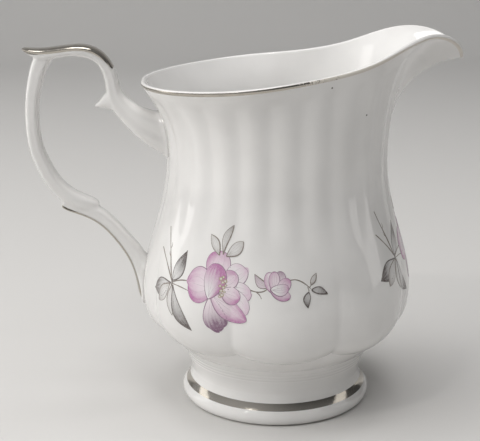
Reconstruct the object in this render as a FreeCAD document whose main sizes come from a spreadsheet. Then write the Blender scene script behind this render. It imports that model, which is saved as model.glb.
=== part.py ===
"""Porcelain cream jug on a spread foot, with a pulled spout, a scrolled handle and printed sprays.

Frame: millimetres, +Z up. The origin is on the jug's axis, in the plane that the foot stands on.
+X runs towards the spout and -X towards the handle; the jug is the same on both sides of the XZ plane,
apart from its printed sprays.
"""
import FreeCAD, Part
import math
import os
import Sketcher
from FreeCAD import Vector

# Driving dimensions: alias, value, what it is. Lengths are in mm, angles in degrees.
# A value that starts with = follows from the others.
DIMENSIONS = [
    # Foot
    ("neck_radius", 25.0, "narrowest radius, where the foot is luted to the jug"),
    ("seam_height", 8.8, "height of the seam between foot and jug"),
    ("bead_offset", 0.4, "how far outside the neck the middle of the foot's rounded edge lies"),
    ("bead_centre_radius", "=neck_radius + bead_offset", "radius at the middle of the rounded edge"),
    ("bead_radius", 2.3, "rounding of the foot's edge"),
    ("cove_radius", "=(bead_offset^2 + (seam_height - bead_radius)^2 - bead_radius^2)"
     " / (2 * (bead_radius + bead_offset))", "hollow that runs from the neck into the edge without a kink"),
    ("foot_track", 1.4, "width of the flat ring that the jug stands on"),
    ("foot_wall", 3.2, "thickness of the foot ring at the seam"),
    ("foot_hollow_lift", 1.2, "height of the bevel inside the standing ring"),
    ("band_low", 4.4, "lower edge of the foot's platinum band"),
    ("band_high", 6.3, "upper edge of the foot's platinum band"),
    ("band_depth", 0.3, "thickness of the foot's platinum band"),
    ("slip_thickness", 0.25, "thickness of the fired slip in each luted joint"),
    ("slip_setback", 0.3, "how far the foot's slip stays back from both edges"),
    # Lobed belly
    ("collar_flare", 5.3, "how much wider the top of the plain collar is than the neck"),
    ("collar_radius", "=neck_radius + collar_flare", "radius at the top of the plain collar"),
    ("collar_height", 20.3, "height of the collar's top under the middle of a lobe"),
    ("lobe_count", 8, "lobes round the belly"),
    ("lobe_depth", 1.35, "depth of the crease between two lobes"),
    ("lobe_overhang", 0.6, "how far the lobes stand out over the collar"),
    ("scallop_rise", 1.4, "how much higher the collar's edge is at a crease"),
    ("belly_radius", 39.1, "largest radius of the belly"),
    ("belly_height", 34.0, "height of the belly's largest radius"),
    ("lobe_fade_height", 54.0, "height at which the lobes have died away"),
    # Fluted neck
    ("waist_radius", 31.5, "smallest radius of the neck"),
    ("waist_height", 73.0, "height of the neck's smallest radius"),
    ("flute_count", 24, "flutes round the neck"),
    ("flute_depth", 0.42, "depth of a flute"),
    ("flute_base_height", 46.0, "height at which the flutes begin"),
    # Rim and spout
    ("rim_back_flare", 6.7, "how far the rim over the handle stands out from the waist"),
    ("rim_side_flare", 4.7, "how far the rim's sides stand out from the waist"),
    ("spout_flare", 20.4, "how far the spout's tip stands out from the waist"),
    ("rim_back", "=waist_radius + rim_back_flare", "radius of the rim over the handle"),
    ("rim_half_width", "=waist_radius + rim_side_flare", "half the width of the rim"),
    ("spout_reach", "=waist_radius + spout_flare", "distance from the axis to the spout's tip"),
    ("rim_back_rise", 20.0, "rise from the waist to the rim over the handle"),
    ("rim_side_rise", 23.4, "rise from the waist to the rim beside the axis"),
    ("rim_peak_rise", 33.2, "rise from the waist to the rim at the shoulders of the spout"),
    ("spout_tip_rise", 26.6, "rise from the waist to the rim at the spout's tip"),
    ("spout_sweep", 22.0, "half angle over which the spout swells out of the neck"),
    # Wall
    ("wall", 2.3, "thickness of the body's wall"),
    ("lip", 1.3, "thickness of the lip"),
    ("floor_thickness", 4.2, "thickness of the floor"),
    ("rim_line_width", 0.35, "width of the platinum line below the lip's rounding"),
    # Handle
    ("arm_half_width", 4.0, "half width of the handle's upper arm and arch"),
    ("bow_half_width", 3.5, "half width of the handle's bow"),
    ("leaf_half_width", 3.1, "half width of the handle's lower arm"),
    ("side_groove", 0.14, "depth of the groove along a member's sides, as a share of its width"),
    ("top_band_depth", 1.5, "how deep the platinum reaches down the handle's top"),
    ("back_band_depth", 0.9, "how deep the platinum reaches round the lower arm's back"),
    # Printed sprays
    ("film_thickness", 0.12, "thickness of a printed spray with its flux"),
    ("film_clearance", 0.06, "gap kept between a spray's film and the glaze under it"),
    ("spray_pitch", 112.5, "angle from one spray to the next"),
]

# How the jug's surfaces are sampled: points round a ring, arcs in a ring, rows of rings as shares of the
# way from the collar to the belly, from the belly to the waist and from the waist to the rim.
RING_POINTS = 144
RING_ARCS = 8
UNDER_RINGS = (0.0, 0.06, 0.16, 0.32, 0.54, 0.78)
OVER_RINGS = (0.0, 0.12, 0.24, 0.37, 0.5, 0.63, 0.76, 0.88)
TOP_RINGS = (0.12, 0.26, 0.4, 0.54, 0.67, 0.78, 0.86, 0.93, 1.0)
COLLAR_RINGS = (0.0, 0.2, 0.4, 0.6, 0.8, 1.0)
CURVE_STEPS = 400

# The rim from above: share of the way to the back (negative) or to the spout's tip, share of the half width.
RIM_PLAN = [
    (-1.0, 0.0), (-0.9, 0.49), (-0.53, 0.9), (-0.2, 1.0), (0.147, 0.9), (0.46, 0.73), (0.66, 0.54),
    (0.83, 0.31), (0.95, 0.145), (1.0, 0.0),
]
# The rim from the side: share of the way to the back or to the spout's tip, then how much of the rise at
# the back, at the side, at the spout's shoulders and at its tip goes into the rim's rise there.
RIM_SIDE = [
    (-1.0, 1.0, 0.0, 0.0, 0.0), (-0.55, 0.66, 0.34, 0.0, 0.0), (0.0, 0.0, 1.0, 0.0, 0.0),
    (0.24, 0.0, 0.82, 0.18, 0.0), (0.46, 0.0, 0.54, 0.46, 0.0), (0.66, 0.0, 0.13, 0.87, 0.0),
    (0.79, 0.0, 0.0, 1.0, 0.0), (0.91, 0.0, 0.0, 0.77, 0.23), (1.0, 0.0, 0.0, 0.0, 1.0),
]
NODES = {}


# ---------------------------------------------------------------- document and sheet

def make_sheet(doc):
    """The spreadsheet of driving dimensions, one row each: alias, value, meaning."""
    sheet = doc.addObject("Spreadsheet::Sheet", "sizes")
    for row, (alias, value, meaning) in enumerate(DIMENSIONS, start=1):
        sheet.set("A%d" % row, alias)
        sheet.set("B%d" % row, str(value))
        sheet.set("C%d" % row, meaning)
        sheet.setAlias("B%d" % row, alias)
    doc.recompute()
    return sheet


def keep(node, label):
    """Give a sub-part its label and remember it for the checks and the files."""
    node.Label = label
    NODES[label] = node
    return node


def feature(doc, label, shape):
    """A sub-part with a free-form shape of its own."""
    node = doc.addObject("Part::Feature", label)
    node.Shape = shape
    node.Placement = FreeCAD.Placement()
    return keep(node, label)


# ---------------------------------------------------------------- turned foot

def origin_plane(body, role):
    """One of the body's own origin planes."""
    return next(item for item in body.Origin.OriginFeatures if item.Role == role)


def turning_sketch(body, name):
    """A sketch of half a turned section: its x is the radius and its y the height."""
    sketch = body.newObject("Sketcher::SketchObject", name)
    sketch.AttachmentSupport = [(origin_plane(body, "XZ_Plane"), "")]
    sketch.MapMode = "FlatFace"
    return sketch


def pin_point(sketch, geometry, end, across, up):
    """Hold a point of a sketch at a radius and a height, given as expressions over the sheet."""
    now = sketch.getPoint(geometry, end)
    for kind, value, expression in (("DistanceX", now.x, across), ("DistanceY", now.y, up)):
        if not expression:
            continue
        index = sketch.addConstraint(Sketcher.Constraint(kind, -1, 1, geometry, end, value))
        sketch.setExpression("Constraints[%d]" % index, expression)


def foot_blank(doc, size):
    """The whole turned foot: a cove from the neck to a rounded edge, hollow underneath."""
    neck, seam = size("neck_radius"), size("seam_height")
    middle, bead = size("bead_centre_radius"), size("bead_radius")
    cove = size("cove_radius")
    turn = math.atan2(seam - bead, neck + cove - middle)
    track_in = middle - size("foot_track")
    bevel = track_in - size("foot_hollow_lift")
    body = doc.addObject("PartDesign::Body", "foot_blank")
    sketch = turning_sketch(body, "foot_section")
    circle_cove = Part.Circle(Vector(neck + cove, seam, 0), Vector(0, 0, 1), cove)
    circle_bead = Part.Circle(Vector(middle, bead, 0), Vector(0, 0, 1), bead)
    sketch.addGeometry(Part.ArcOfCircle(circle_cove, math.pi, math.pi + turn), False)
    sketch.addGeometry(Part.ArcOfCircle(circle_bead, -math.pi / 2, turn), False)
    corners = [(middle, 0), (track_in, 0), (bevel, size("foot_hollow_lift"))]
    corners += [(neck - size("foot_wall"), seam), (neck, seam)]
    for start, finish in zip(corners, corners[1:]):
        sketch.addGeometry(Part.LineSegment(Vector(*start, 0), Vector(*finish, 0)), False)
    sketch.addConstraint(Sketcher.Constraint("Tangent", 0, 2, 1, 2))
    for first in (2, 3, 4):
        sketch.addConstraint(Sketcher.Constraint("Coincident", first, 2, first + 1, 1))
    sketch.addConstraint(Sketcher.Constraint("Coincident", 1, 1, 2, 1))
    sketch.addConstraint(Sketcher.Constraint("Coincident", 5, 2, 0, 1))
    pin_point(sketch, 0, 3, "", "sizes.seam_height")
    pin_point(sketch, 0, 1, "sizes.neck_radius", "sizes.seam_height")
    pin_point(sketch, 1, 3, "sizes.bead_centre_radius", "sizes.bead_radius")
    pin_point(sketch, 1, 1, "sizes.bead_centre_radius", "")
    for end in (1, 2):
        sketch.addConstraint(Sketcher.Constraint("PointOnObject", 2, end, -1))
    pin_point(sketch, 2, 2, "sizes.bead_centre_radius - sizes.foot_track", "")
    inside = "sizes.bead_centre_radius - sizes.foot_track - sizes.foot_hollow_lift"
    pin_point(sketch, 3, 2, inside, "sizes.foot_hollow_lift")
    pin_point(sketch, 4, 2, "sizes.neck_radius - sizes.foot_wall", "sizes.seam_height")
    turned = body.newObject("PartDesign::Revolution", "foot_turning")
    turned.Profile = sketch
    turned.ReferenceAxis = (sketch, ["V_Axis"])
    turned.Angle = 360
    doc.recompute()
    return body


def band_zone(doc):
    """The skin of the cove between the band's two edges: a slab that lies inside a torus."""
    slab = doc.addObject("Part::Cylinder", "band_slab")
    slab.setExpression("Radius", "sizes.bead_centre_radius + 2 * sizes.bead_radius")
    slab.setExpression("Height", "sizes.band_high - sizes.band_low")
    slab.setExpression("Placement.Base.z", "sizes.band_low")
    ring = doc.addObject("Part::Torus", "band_torus")
    ring.setExpression("Radius1", "sizes.neck_radius + sizes.cove_radius")
    ring.setExpression("Radius2", "sizes.cove_radius + sizes.band_depth")
    ring.setExpression("Placement.Base.z", "sizes.seam_height")
    zone = doc.addObject("Part::Common", "band_zone")
    zone.Base = slab
    zone.Tool = ring
    return zone


def make_foot(doc, size):
    """The foot ring, its platinum band let into the cove, and the slip that lutes it to the jug."""
    blank = foot_blank(doc, size)
    zone = band_zone(doc)
    ring = doc.addObject("Part::Cut", "foot_ring")
    band = doc.addObject("Part::Common", "foot_platinum_band")
    for piece in (ring, band):
        piece.Base = blank
        piece.Tool = zone
        keep(piece, piece.Name)
    outer = doc.addObject("Part::Cylinder", "foot_slip_disc")
    outer.setExpression("Radius", "sizes.neck_radius - sizes.slip_setback")
    bore = doc.addObject("Part::Cylinder", "foot_slip_bore")
    bore.setExpression("Radius", "sizes.neck_radius - sizes.foot_wall + sizes.slip_setback")
    for disc in (outer, bore):
        disc.setExpression("Height", "sizes.slip_thickness")
        disc.setExpression("Placement.Base.z", "sizes.seam_height")
    slip = doc.addObject("Part::Cut", "foot_slip_joint")
    slip.Base = outer
    slip.Tool = bore
    keep(slip, "foot_slip_joint")


# ---------------------------------------------------------------- shape of the jug's body

def blend(low, high, at):
    """A smooth step from 0 at low to 1 at high."""
    part = min(max((at - low) / (high - low), 0.0), 1.0)
    return part * part * (3 - 2 * part)


def curve_through(points):
    """The points of even steps along a smooth curve through points in a plane."""
    curve = Part.BSplineCurve()
    curve.interpolate([Vector(x, y, 0) for x, y in points])
    first, last = curve.FirstParameter, curve.LastParameter
    return [curve.value(first + (last - first) * step / CURVE_STEPS) for step in range(CURVE_STEPS + 1)]


class BodyForm:
    """The jug's outer surface: a radius and a height for every angle and every level."""

    def __init__(self, size, plain=False):
        self.size = size
        self.flute_depth = 0.0 if plain else size("flute_depth")
        self.lobe_depth = 0.0 if plain else size("lobe_depth")
        self.scallop_rise = 0.0 if plain else size("scallop_rise")
        width = size("rim_half_width")
        aliases = ("rim_back_rise", "rim_side_rise", "rim_peak_rise", "spout_tip_rise")
        rises = [size(alias) for alias in aliases]
        waist = size("waist_height")
        self.plan = curve_through([(self.along(share), width * out) for share, out in RIM_PLAN])
        self.side = curve_through([
            (self.along(share), waist + sum(rise * part for rise, part in zip(rises, parts)))
            for share, *parts in RIM_SIDE
        ])

    def along(self, share):
        """Distance along X for a share of the way to the rim's back (negative) or to the spout's tip."""
        return share * self.size("rim_back" if share < 0 else "spout_reach")

    def rim(self, angle):
        """Radius and height of the rim at an angle from the spout."""
        turn = abs(math.atan2(math.sin(angle), math.cos(angle)))
        bearings = [math.atan2(point.y, point.x) for point in self.plan]
        index = next(i for i in range(1, len(bearings)) if bearings[i] <= turn + 1e-9)
        before, after = self.plan[index - 1], self.plan[index]
        span = bearings[index - 1] - bearings[index]
        share = (bearings[index - 1] - turn) / span if span else 0.0
        point = before + (after - before) * min(max(share, 0.0), 1.0)
        index = next((i for i in range(1, len(self.side)) if self.side[i].x >= point.x), len(self.side) - 1)
        low, high = self.side[index - 1], self.side[index]
        share = min(max((point.x - low.x) / (high.x - low.x), 0.0), 1.0)
        return math.hypot(point.x, point.y), low.y + (high.y - low.y) * share

    def lobe(self, angle):
        """1 along the middle of a lobe and 0 in a crease."""
        return abs(math.cos(self.size("lobe_count") * angle / 2)) ** 0.8

    def flute(self, angle):
        """0 on the ridge between two flutes and 1 along the middle of a flute."""
        return 1 - abs(math.cos(self.size("flute_count") * angle / 2)) ** 1.6

    def collar_ring(self, share):
        """A ring of the plain collar: share is 0 at the seam and 1 under the lobes."""
        size = self.size
        bottom = size("seam_height") + size("slip_thickness")
        neck, top = size("neck_radius"), size("collar_radius")
        swell = 0.25 * share + 0.75 * share ** 2.0

        def point(angle):
            crease = self.scallop_rise * (1 - self.lobe(angle)) * blend(0.45, 1.0, share)
            height = bottom + (size("collar_height") - bottom) * share
            slope = (top - neck) / (size("collar_height") - bottom)
            return neck + (top - neck) * swell + crease * slope, height + crease
        return point

    def belly_radius(self, height):
        """Radius of the belly between the collar and the waist, along the middle of a lobe."""
        size = self.size
        low, wide = size("collar_height"), size("belly_height")
        edge, full = size("collar_radius") + size("lobe_overhang"), size("belly_radius")
        waist, waist_height = size("waist_radius"), size("waist_height")
        if height <= wide:
            share = (wide - height) / (wide - low)
            return edge + (full - edge) * (1 - share ** 2.6) ** 0.62
        share = (height - wide) / (waist_height - wide)
        return waist + (full - waist) * (0.5 + 0.5 * math.cos(math.pi * share ** 0.86))

    def belly_ring(self, height):
        """A ring of the lobed belly and the foot of the neck."""
        size = self.size
        low = size("collar_height")
        fade = 1 - blend(size("belly_height") - 3, size("lobe_fade_height"), height)
        flutes = blend(size("flute_base_height"), size("waist_height") - 9, height)

        def point(angle):
            crease = 1 - self.lobe(angle)
            lift = self.scallop_rise * crease * (1 - blend(low, low + 8, height))
            depth = self.lobe_depth * crease * fade + self.flute_depth * self.flute(angle) * flutes
            return self.belly_radius(height) - depth, height + 0.15 + lift
        return point

    def neck_keys(self, angle):
        """The four points that shape the neck's profile at an angle, from the waist to the rim."""
        size = self.size
        waist, foot = size("waist_radius"), size("waist_height")
        radius, height = self.rim(angle)
        turn = math.degrees(abs(math.atan2(math.sin(angle), math.cos(angle))))
        spout = math.exp(-(turn / (1.15 * size("spout_sweep"))) ** 2)
        reach = waist + (0.45 - 0.15 * spout) * (radius - waist)
        rise = foot + (0.5 + 0.06 * spout) * (height - foot)
        keys = ((waist, foot), (waist, rise), (reach, height - 5.6 + 4.0 * spout), (radius, height))
        return keys, spout

    def neck_ring(self, share, short=0.0):
        """A ring of the neck: share is 0 at the waist and 1 at a distance short of the rim."""
        def point(angle):
            keys, spout = self.neck_keys(angle)
            length = 3 * math.hypot(keys[3][0] - keys[2][0], keys[3][1] - keys[2][1])
            at = share * (1 - short / length)
            weights = ((1 - at) ** 3, 3 * at * (1 - at) ** 2, 3 * at ** 2 * (1 - at), at ** 3)
            across = sum(key[0] * weight for key, weight in zip(keys, weights))
            up = sum(key[1] * weight for key, weight in zip(keys, weights))
            fade = (1 - blend(0.72, 0.9, share)) * (1 - 0.8 * spout * blend(0.1, 0.6, share))
            return across - self.flute_depth * self.flute(angle) * fade, up
        return point

    def lip_ring(self, turn):
        """A ring of the lip's rounding: turn is 0 at its outer edge and pi at its inner one."""
        half = self.size("lip") / 2

        def point(angle):
            keys, _ = self.neck_keys(angle)
            along = (keys[3][0] - keys[2][0], keys[3][1] - keys[2][1])
            length = math.hypot(*along)
            along = (along[0] / length, along[1] / length)
            out = half * (math.cos(turn) - 1)
            up = half * math.sin(turn)
            return keys[3][0] + out * along[1] + up * along[0], keys[3][1] - out * along[0] + up * along[1]
        return point

    def outer_rings(self):
        """The rings of the lobed belly and the neck, up to the platinum line's lower edge."""
        size = self.size
        low, wide, waist = size("collar_height"), size("belly_height"), size("waist_height")
        under = [low + (wide - low) * share for share in UNDER_RINGS]
        over = [wide + (waist - wide) * share for share in OVER_RINGS]
        rings = [self.belly_ring(height) for height in under + over]
        short = size("rim_line_width")
        return rings + [self.neck_ring(share, short) for share in (0.0,) + TOP_RINGS]


def offset_ring(lower, ring, upper, distance):
    """A ring moved by a distance along its outward normal; lower and upper are the rings beside it."""
    def point(angle):
        below, here, above = lower(angle), ring(angle), upper(angle)
        along = (above[0] - below[0], above[1] - below[1])
        length = math.hypot(*along)
        return here[0] + distance * along[1] / length, here[1] - distance * along[0] / length
    return point


def flat_ring(radius, height):
    """A plain circle."""
    return lambda angle: (radius, height)


def closed_wire(points, arcs=1):
    """A closed smooth wire through points, as one edge or as equal arcs of the same curve.

    The knots are even, so that wires loft into clean surfaces.
    """
    curve = Part.BSplineCurve()
    curve.interpolate(points, PeriodicFlag=True, Parameters=[float(step) for step in range(len(points) + 1)])
    share = len(points) / arcs
    return Part.Wire([curve.toShape(share * arc, share * (arc + 1)) for arc in range(arcs)])


def ring_wire(ring):
    """A closed smooth wire through a ring's points, in arcs that meet clear of the spout and the handle."""
    points = []
    for step in range(RING_POINTS):
        angle = math.pi / RING_ARCS + 2 * math.pi * step / RING_POINTS
        radius, height = ring(angle)
        points.append(Vector(radius * math.cos(angle), radius * math.sin(angle), height))
    return closed_wire(points, RING_ARCS)


def skin(rings, ruled=False):
    """The surface over a row of rings."""
    return Part.makeLoft([ring_wire(ring) for ring in rings], False, ruled)


def closed_solid(pieces):
    """One solid from surfaces that meet edge to edge."""
    faces = [face for piece in pieces for face in piece.Faces]
    shell = Part.makeCompound(faces)
    shell.sewShape()
    solid = Part.makeSolid(Part.Shell(shell.Faces))
    if solid.Volume < 0:
        solid.reverse()
    return solid


# ---------------------------------------------------------------- jug body

def moved(rings, distances):
    """Rings moved outwards, each by its own distance."""
    result = []
    for index, ring in enumerate(rings):
        lower = rings[max(index - 1, 0)]
        upper = rings[min(index + 1, len(rings) - 1)]
        result.append(offset_ring(lower, ring, upper, distances[index]))
    return result


def collar_skin(form, grow=0.0):
    """The plain collar and the small step up to the lobes."""
    rings = [form.collar_ring(share) for share in COLLAR_RINGS]
    edges = form.outer_rings()
    if grow:
        rings = moved(rings, [grow] * len(rings))
        edges = moved(edges, [grow] * len(edges))
    return skin(rings), skin([rings[-1], edges[0]], ruled=True), rings[0]


def outer_solid(form, grow=0.0):
    """The jug's outside as a filled solid, swollen by grow; it cuts what is joined to the jug."""
    size = form.size
    collar, step, bottom = collar_skin(form, grow)
    rings = form.outer_rings()
    if grow:
        rings = moved(rings, [grow] * len(rings))
    cap = flat_ring(size("lip"), size("waist_height") + size("rim_back_rise"))
    top = skin([rings[-1], cap], ruled=True)
    faces = [Part.Face(ring_wire(bottom)), Part.Face(ring_wire(cap))] if not grow else []
    if grow:
        low = flat_ring(size("neck_radius") + grow, size("seam_height"))
        faces = [Part.Face(ring_wire(low)), Part.Face(ring_wire(cap)), skin([low, bottom], ruled=True)]
    return closed_solid([collar, step, skin(rings), top] + faces)


def inner_rings(form):
    """The rings of the inside, from the floor up to the platinum line's lower edge."""
    size = form.size
    wall, lip = size("wall"), size("lip")
    outer = form.outer_rings()
    count = len(outer)
    belly = count - len(TOP_RINGS) - 1
    thickness = []
    for index in range(count):
        softened = 0.6 * size("lobe_depth") * (1 - blend(0.4 * belly, 0.8 * belly, index))
        thickness.append(wall + softened + (lip - wall) * blend(belly, count - 1, index))
    walls = moved(outer, [-value for value in thickness])
    floor = size("seam_height") + size("slip_thickness") + size("floor_thickness")
    start = walls[3](0.0)
    rise = start[1] - floor
    bowl = [flat_ring(start[0] * 0.55, floor), flat_ring(start[0] * 0.76, floor + 0.2 * rise)]
    bowl.append(flat_ring(start[0] * 0.92, floor + 0.55 * rise))
    return bowl, walls[4:]


def make_body(doc, size):
    """The slip-cast jug without its foot and handle, and the platinum line that forms its lip's edge."""
    form = BodyForm(size)
    plain = BodyForm(size, plain=True)
    collar, step, bottom = collar_skin(form)
    outer = form.outer_rings()
    bowl, walls = inner_rings(plain)
    seat = skin([outer[-1], walls[-1]], ruled=True)
    floor = Part.Face(ring_wire(bowl[0]))
    base = Part.Face(ring_wire(bottom))
    inside = skin(bowl + walls)
    feature(doc, "jug_body", closed_solid([base, collar, step, skin(outer), seat, inside, floor]))
    turns = [math.pi * step / 4 for step in range(5)]
    lip = skin([outer[-1]] + [form.lip_ring(turn) for turn in turns] + [walls[-1]])
    feature(doc, "rim_platinum_line", closed_solid([lip, seat]))
    return form


# ---------------------------------------------------------------- handle

# The members' outlines in the XZ plane, the handle's free-hand scroll: for each station the outer edge's
# point, the inner edge's point and the half width as a share of the member's own. A point is measured
# outwards and upwards from the narrowest ring of the neck. The lower arm's points are measured from there at
# its free end, and step by step more from the widest ring of the belly towards its root.
ARM = [
    ((-4.5, 11.6), (-6.5, -4.0), 1.60), ((-0.5, 11.6), (-2.0, -2.1), 1.48),
    ((2.7, 11.9), (1.7, 0.1), 1.28), ((7.1, 13.4), (7.4, 4.0), 1.10),
    ((10.5, 15.6), (12.5, 9.3), 1.00), ((12.4, 18.2), (16.1, 14.9), 0.95),
    ((13.2, 21.3), (16.8, 19.6), 0.92), ((14.3, 24.6), (17.5, 22.9), 0.92),
    ((16.6, 28.0), (18.9, 25.5), 0.95), ((20.1, 30.3), (21.4, 27.0), 1.00),
    ((24.6, 30.9), (25.2, 27.7), 1.05), ((28.7, 30.5), (28.8, 27.4), 1.05),
    ((32.7, 30.0), (32.7, 26.9), 1.02), ((36.3, 29.9), (36.0, 27.4), 0.95),
    ((38.3, 30.0), (37.9, 28.4), 0.80), ((39.4, 29.9), (39.2, 29.3), 0.45),
]
SPUR = [
    ((13.1, 20.2), (12.3, 10.6), 0.80), ((15.9, 18.6), (14.1, 11.9), 0.78),
    ((17.5, 16.6), (16.4, 12.9), 0.66), ((18.9, 14.9), (18.3, 13.2), 0.46),
    ((20.1, 13.7), (19.9, 13.2), 0.22),
]
BOW = [
    ((34.9, 29.6), (28.1, 29.6), 0.90), ((36.5, 27.2), (30.9, 27.0), 0.95),
    ((37.4, 24.8), (32.7, 24.4), 1.00), ((38.3, 21.3), (33.9, 21.2), 1.00),
    ((39.2, 15.7), (35.3, 15.6), 1.00), ((39.4, 8.6), (35.6, 9.0), 1.00),
    ((38.6, 1.4), (34.9, 2.6), 1.00), ((36.6, -4.4), (33.1, -2.2), 1.00),
    ((33.5, -10.1), (30.2, -7.1), 1.00), ((29.3, -14.2), (26.7, -10.4), 1.00),
    ((24.9, -16.3), (23.4, -12.1), 0.96), ((21.7, -16.5), (20.9, -13.2), 0.80),
    ((19.9, -15.8), (19.6, -14.4), 0.40),
]
LEAF = [
    ((30.1, -15.6), (29.7, -12.6), 0.85), ((24.2, -12.2), (23.3, -9.0), 0.95),
    ((17.6, -9.6), (15.7, -5.6), 1.00), ((12.1, -8.7), (9.1, -5.7), 1.05),
    ((7.2, -9.1), (3.6, -5.5), 1.12), ((4.1, -9.8), (-0.5, -4.9), 1.22),
    ((1.9, -9.2), (-4.4, -2.6), 1.34), ((-1.5, -6.4), (-8.1, 1.0), 1.40),
]
TOP_BAND_STATIONS = range(7, 16)
TOP_BAND_DEPTHS = (0.3, 0.8, 1.0, 1.0, 1.0, 1.0, 1.0, 0.95, 0.8)
BACK_BAND_STATIONS = range(0, 7)
SECTION_POINTS = 28


def placed(size, stations, root_share=0.0):
    """Stations in the jug's frame; root_share is how far the last one hangs on the belly."""
    result = []
    for index, (outer, inner, share) in enumerate(stations):
        part = root_share * index / (len(stations) - 1)
        radius = size("waist_radius") + (size("belly_radius") - size("waist_radius")) * part
        level = size("waist_height") + (size("belly_height") - size("waist_height")) * part
        edges = [(-radius - out, level + up) for out, up in (outer, inner)]
        result.append((edges[0], edges[1], share))
    return result


def section_wire(station, half_width, groove):
    """A member's cross-section: a full oval between its two edges, with a groove along both sides."""
    outer, inner, share = station
    middle = Vector((outer[0] + inner[0]) / 2, 0, (outer[1] + inner[1]) / 2)
    reach = Vector(outer[0], 0, outer[1]) - middle
    points = []
    for step in range(SECTION_POINTS):
        turn = 2 * math.pi * step / SECTION_POINTS
        along = math.copysign(abs(math.cos(turn)) ** 0.85, math.cos(turn))
        across = math.copysign(abs(math.sin(turn)) ** 0.75, math.sin(turn))
        across *= 1 - groove * math.exp(-(math.cos(turn) / 0.34) ** 2)
        points.append(middle + reach * along + Vector(0, half_width * share * across, 0))
    return closed_wire(points)


def member(stations, half_width, groove):
    """A member of the handle, lofted through its stations."""
    return Part.makeLoft([section_wire(station, half_width, groove) for station in stations], True, False)


def band_zone_along(stations, depths, width):
    """The space over a member's outer edge, down to a depth at each station, through the handle's width."""
    edge = []
    for (outer, inner, _), depth in zip(stations, depths):
        across = Vector(inner[0] - outer[0], 0, inner[1] - outer[1])
        across.normalize()
        edge.append((Vector(outer[0], -width, outer[1]), across))
    low = [point + across * depth for (point, across), depth in zip(edge, depths)]
    high = [point - across * width / 2 for point, across in edge]
    lower, upper = Part.BSplineCurve(), Part.BSplineCurve()
    lower.interpolate(low)
    upper.interpolate(high)
    ends = [Part.makeLine(low[0], high[0]), Part.makeLine(low[-1], high[-1])]
    wire = Part.Wire(Part.__sortEdges__([lower.toShape(), upper.toShape()] + ends))
    return Part.Face(wire).extrude(Vector(0, 2 * width, 0))


def largest(shape):
    """The main solid of a cut, without any sliver that the cut left."""
    return max(shape.Solids, key=lambda solid: solid.Volume)


def make_handle(doc, size, form):
    """The pressed handle, its two platinum bands, and the slip that lutes its ends to the jug."""
    groove = size("side_groove")
    upper, lower = placed(size, ARM), placed(size, LEAF, root_share=1.0)
    arm = member(upper, size("arm_half_width"), groove)
    spur = member(placed(size, SPUR), size("arm_half_width"), 0.0)
    bow = member(placed(size, BOW), size("bow_half_width"), groove)
    leaf = member(lower, size("leaf_half_width"), groove)
    whole = arm.fuse([spur, bow, leaf]).removeSplitter()
    width = 2 * size("arm_half_width")
    top_depths = [size("top_band_depth") * share for share in TOP_BAND_DEPTHS]
    top_zone = band_zone_along([upper[i] for i in TOP_BAND_STATIONS], top_depths, width)
    back_depths = [size("back_band_depth")] * len(BACK_BAND_STATIONS)
    back_zone = band_zone_along([lower[i] for i in BACK_BAND_STATIONS], back_depths, width)
    jug, jug_and_slip = outer_solid(form), outer_solid(form, size("slip_thickness"))
    free = whole.cut(jug_and_slip)
    back_band = free.common(back_zone)
    top_band = free.common(top_zone)
    feature(doc, "handle_top_platinum", top_band)
    feature(doc, "handle_back_platinum", back_band)
    feature(doc, "handle", largest(free.cut([top_zone, back_zone])))
    slip = whole.common(jug_and_slip).cut(jug)
    joints = sorted(slip.Solids, key=lambda solid: solid.Volume)[-2:]
    joints.sort(key=lambda solid: solid.BoundBox.ZMax)
    for name, solid in zip(("lower_slip_joint", "upper_slip_joint"), joints):
        feature(doc, name, solid)


# ---------------------------------------------------------------- printed sprays

# One printed spray with its clear margin: angle from the spray's root, lower edge and upper edge.
SPRAY_EDGES = [
    (-24, 34, 43), (-16, 28, 51), (-8, 27, 58), (0, 31, 60), (8, 30, 57), (18, 26, 59),
    (28, 26, 60.5), (38, 28, 58), (48, 33, 51.5), (58, 36, 49), (66, 36, 48), (73, 38, 46),
]
SPRAY_ROOT = -140.0  # angle of the first spray's root
SPRAYS = (("flower_spray_near", 0.0), ("flower_spray_front", 5.0), ("flower_spray_far", 0.0))  # raised by
SPRAY_STEP = 1.25
SPRAY_ROWS = 16
SLOPE_STEP = 0.5  # how far above and below a point the belly's slope is taken


def spray_face(form, root, raised, grow):
    """The part of the belly's surface that a spray covers, moved outwards by grow."""
    low = curve_through([(turn, below) for turn, below, _ in SPRAY_EDGES])
    high = curve_through([(turn, above) for turn, _, above in SPRAY_EDGES])
    first, last = SPRAY_EDGES[0][0], SPRAY_EDGES[-1][0]
    grid = []
    for step in range(int((last - first) / SPRAY_STEP) + 1):
        turn = first + step * SPRAY_STEP
        index = next(i for i, point in enumerate(low) if point.x >= turn - 1e-6)
        angle = math.radians(root + turn)
        line = []
        for row in range(SPRAY_ROWS + 1):
            height = raised + low[index].y + (high[index].y - low[index].y) * row / SPRAY_ROWS
            rings = [form.belly_ring(height + step) for step in (-SLOPE_STEP, 0.0, SLOPE_STEP)]
            radius, up = offset_ring(rings[0], rings[1], rings[2], grow)(angle)
            line.append(Vector(radius * math.cos(angle), radius * math.sin(angle), up))
        grid.append(line)
    surface = Part.BSplineSurface()
    surface.interpolate(grid)
    return surface.toShape()


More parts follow.
